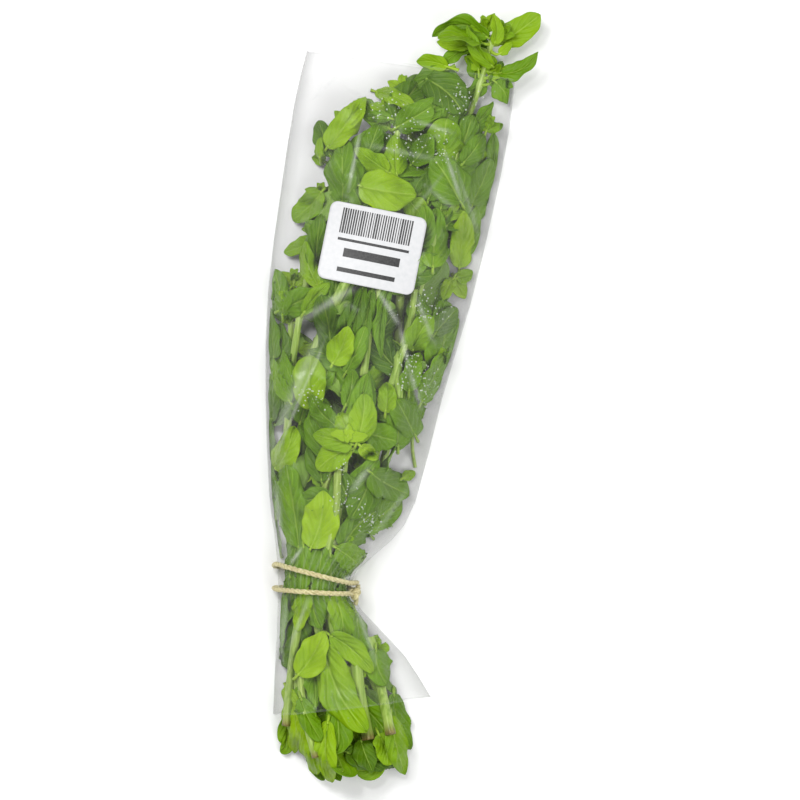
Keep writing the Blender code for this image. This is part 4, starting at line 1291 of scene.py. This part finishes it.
def fibreTree(material):
    tree, n, given = newTree("looseFibres", [
        ("Density", "NodeSocketFloat", 1.0), ("Length", "NodeSocketFloat", 1.5), ("Seed", "NodeSocketInt", 2),
    ])
    spread = n.add("GeometryNodeDistributePointsOnFaces", {"Mesh": given["Geometry"], "Density": given["Density"], "Seed": given["Seed"]})
    hair = n.add("GeometryNodeMeshCone", {"Vertices": 4, "Radius Top": 0.015, "Radius Bottom": 0.045, "Depth": given["Length"]}).outputs[0]
    lean = n.add("FunctionNodeRandomValue", {0: (-1.3, -1.3, -3.1), 1: (1.3, 1.3, 3.1)}, data_type="FLOAT_VECTOR").outputs[0]
    turned = n.add("FunctionNodeRotateRotation", {0: spread.outputs["Rotation"], 1: lean}).outputs[0]
    size = n.add("FunctionNodeRandomValue", {2: 0.3, 3: 1.0}, data_type="FLOAT").outputs[1]
    hairs = n.add("GeometryNodeInstanceOnPoints", {"Points": spread.outputs[0], "Instance": hair, "Rotation": turned, "Scale": size})
    endTree(n, hairs.outputs[0], material)
    return tree


def tubeLine(node, sides):
    # the middle line of a thin tube, walking from one of its ends
    points, links = cadShape(node)
    end = walkRows(links, [0])[-1][0]
    first = np.argsort(np.linalg.norm(points - points[end], axis=1))[:sides]
    return np.array([points[row].mean(0) for row in walkRows(links, list(first))])


def cordMesh(name, line, material, tree):
    curve = bpy.data.curves.new(name, "CURVE")
    curve.dimensions = "3D"
    route = curve.splines.new("POLY")
    route.points.add(len(line) - 1)
    for point, place in zip(route.points, line):
        point.co = (*place, 1)
    values = {"Ply Radius": twine["ply"], "Offset": twine["offset"], "Pitch": twine["pitch"]}
    return grow(name, curve, tree, **values)


def plainShape(mesh):
    return {"points": np.array([tuple(v.co) for v in mesh.vertices]), "faces": [list(p.vertices) for p in mesh.polygons]}


def makeTwine():
    material = makeTwineMaterial()
    twist, fibres = twistTree(material), fibreTree(material)
    line = smoothLine(tubeLine("twine", 6), 1.0)
    cord = cordMesh("twineCord", line, material, twist)
    area = 2 * math.pi * twine["radius"] * len(line) * 2.2
    fuzz = grow("twineFuzz", cord.copy(), fibres, Density=twine["fibres"] / area, Length=twine["fibreLength"])
    fuzzShape = plainShape(fuzz)
    fuzzShape["points"][:, 2] = np.maximum(fuzzShape["points"][:, 2], 0.3)
    makePiece("twineCord", [plainShape(cord), fuzzShape], material, ["twine"])
    low, high = (np.array(corner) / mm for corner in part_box("twine_knot"))
    middle, size = (low + high) / 2, (high - low).max() / 2
    t = np.linspace(0, 2 * math.pi, 60, endpoint=False)
    loop = np.stack([np.sin(t) + 2 * np.sin(2 * t), np.cos(t) - 2 * np.cos(2 * t), -1.2 * np.sin(3 * t)], 1)
    loop = middle + loop * size * 0.24
    tails = [
        smoothLine([middle, middle + (0.6, -1.6, -0.6), middle + (0.2, -3.6, -2.6)], 0.5),
        smoothLine([middle, middle + (1.0, 1.0, -1.4), middle + (1.2, 2.2, -4.0)], 0.5),
    ]
    shapes = [plainShape(cordMesh("knotPart", part, material, twist)) for part in (np.append(loop, loop[:1], 0), *tails)]
    makePiece("twineKnot", shapes, material, ["twine_knot"])


makeTwine()
print("twine: twisted and knotted")

# Droplets under the film.

drops = {"density": 0.55, "size": (0.10, 0.32)}


def makeDrops():
    material, shader, n = newMaterial("waterDrop", 0.03, Specular_IOR_Level=1.0, IOR=1.5)
    # The near-white colour, most opaque at the rim, is painted glint: clear water shows white only where it reflects
    # light.
    shader.inputs["Base Color"].default_value = (0.95, 0.97, 0.95, 1)
    rim = n.add("ShaderNodeLayerWeight", {"Blend": 0.5}).outputs["Facing"]
    n.tree.links.new(n.spread(rim, 0.0, 1.0, 0.15, 0.9), shader.inputs["Alpha"])
    tree, n, given = newTree("droplets", [
        ("Density", "NodeSocketFloat", 0.5), ("Small", "NodeSocketFloat", 0.1), ("Large", "NodeSocketFloat", 0.3), ("Seed", "NodeSocketInt", 4),
    ])
    dampness = n.add("GeometryNodeInputNamedAttribute", {"Name": "damp"}, data_type="FLOAT").outputs[0]
    density = n.math("MULTIPLY", n.math("POWER", dampness, 1.5), given["Density"])
    spread = n.add("GeometryNodeDistributePointsOnFaces", {"Mesh": given["Geometry"], "Density": density, "Seed": given["Seed"]})
    bead = n.add("GeometryNodeMeshIcoSphere", {"Radius": 1.0, "Subdivisions": 2}).outputs[0]
    bead = n.add("GeometryNodeTransform", {"Geometry": bead, "Scale": (1.0, 1.0, 0.6)}).outputs[0]
    size = n.add("FunctionNodeRandomValue", {2: given["Small"], 3: given["Large"]}, data_type="FLOAT").outputs[1]
    beads = n.add("GeometryNodeInstanceOnPoints", {
        "Points": spread.outputs[0], "Instance": bead, "Rotation": spread.outputs["Rotation"], "Scale": size})
    endTree(n, beads.outputs[0], material)
    rows, columns = filmHeight.shape
    sheet = np.concatenate([spots, filmHeight[..., None] - 0.12], -1).reshape(-1, 3)
    base = bpy.data.meshes.new("dampFilm")
    base.from_pydata(sheet.tolist(), [], gridFaces(rows, columns).tolist())
    base.attributes.new("damp", "FLOAT", "POINT").data.foreach_set("value", damp.ravel().astype(np.float32))
    beadMesh = grow("droplets", base, tree, Density=drops["density"], Small=drops["size"][0], Large=drops["size"][1])
    makePiece("droplets", [plainShape(beadMesh)], material)


makeDrops()
print("droplets made")

# Table and light.


def makeStudio():
    material, shader, n = newMaterial("paleTable", 0.75, Specular_IOR_Level=0.1)
    tint = n.noise(4.0, 2.0)
    n.tree.links.new(n.mix(tint, (0.90, 0.90, 0.90, 1), (0.92, 0.92, 0.92, 1)), shader.inputs["Base Color"])
    size = studio["floorSize"] / 2
    points = np.array([(-size, -size, 0), (size, -size, 0), (size, size, 0), (-size, size, 0)])
    floor = addObject("table", makeMesh("table", [{"points": points, "faces": [[0, 1, 2, 3]]}], material))
    world = bpy.data.worlds.new("studio")
    world.use_nodes = True
    world.node_tree.nodes["Background"].inputs[0].default_value = (1, 1, 1, 1)
    world.node_tree.nodes["Background"].inputs[1].default_value = studio["worldLight"]
    bpy.context.scene.world = world
    lights = (
        ("keyLight", studio["keyPower"], studio["keySize"], (-0.45, 0.45, 0.9)),
        ("fillLight", studio["keyPower"], studio["fillSize"], (0.55, -0.35, 0.9)),
        ("glintLight", studio["glintPower"], studio["glintSize"], (-0.12, 0.28, 1.1)),
    )
    for name, power, size, place in lights:
        data = bpy.data.lights.new(name, "AREA")
        data.energy = power
        data.size = size
        light = addObject(name, data)
        light.location = place
        light.rotation_mode = "QUATERNION"
        light.rotation_quaternion = Vector(place).to_track_quat("Z", "Y")


makeStudio()
print("studio: table and lights set")
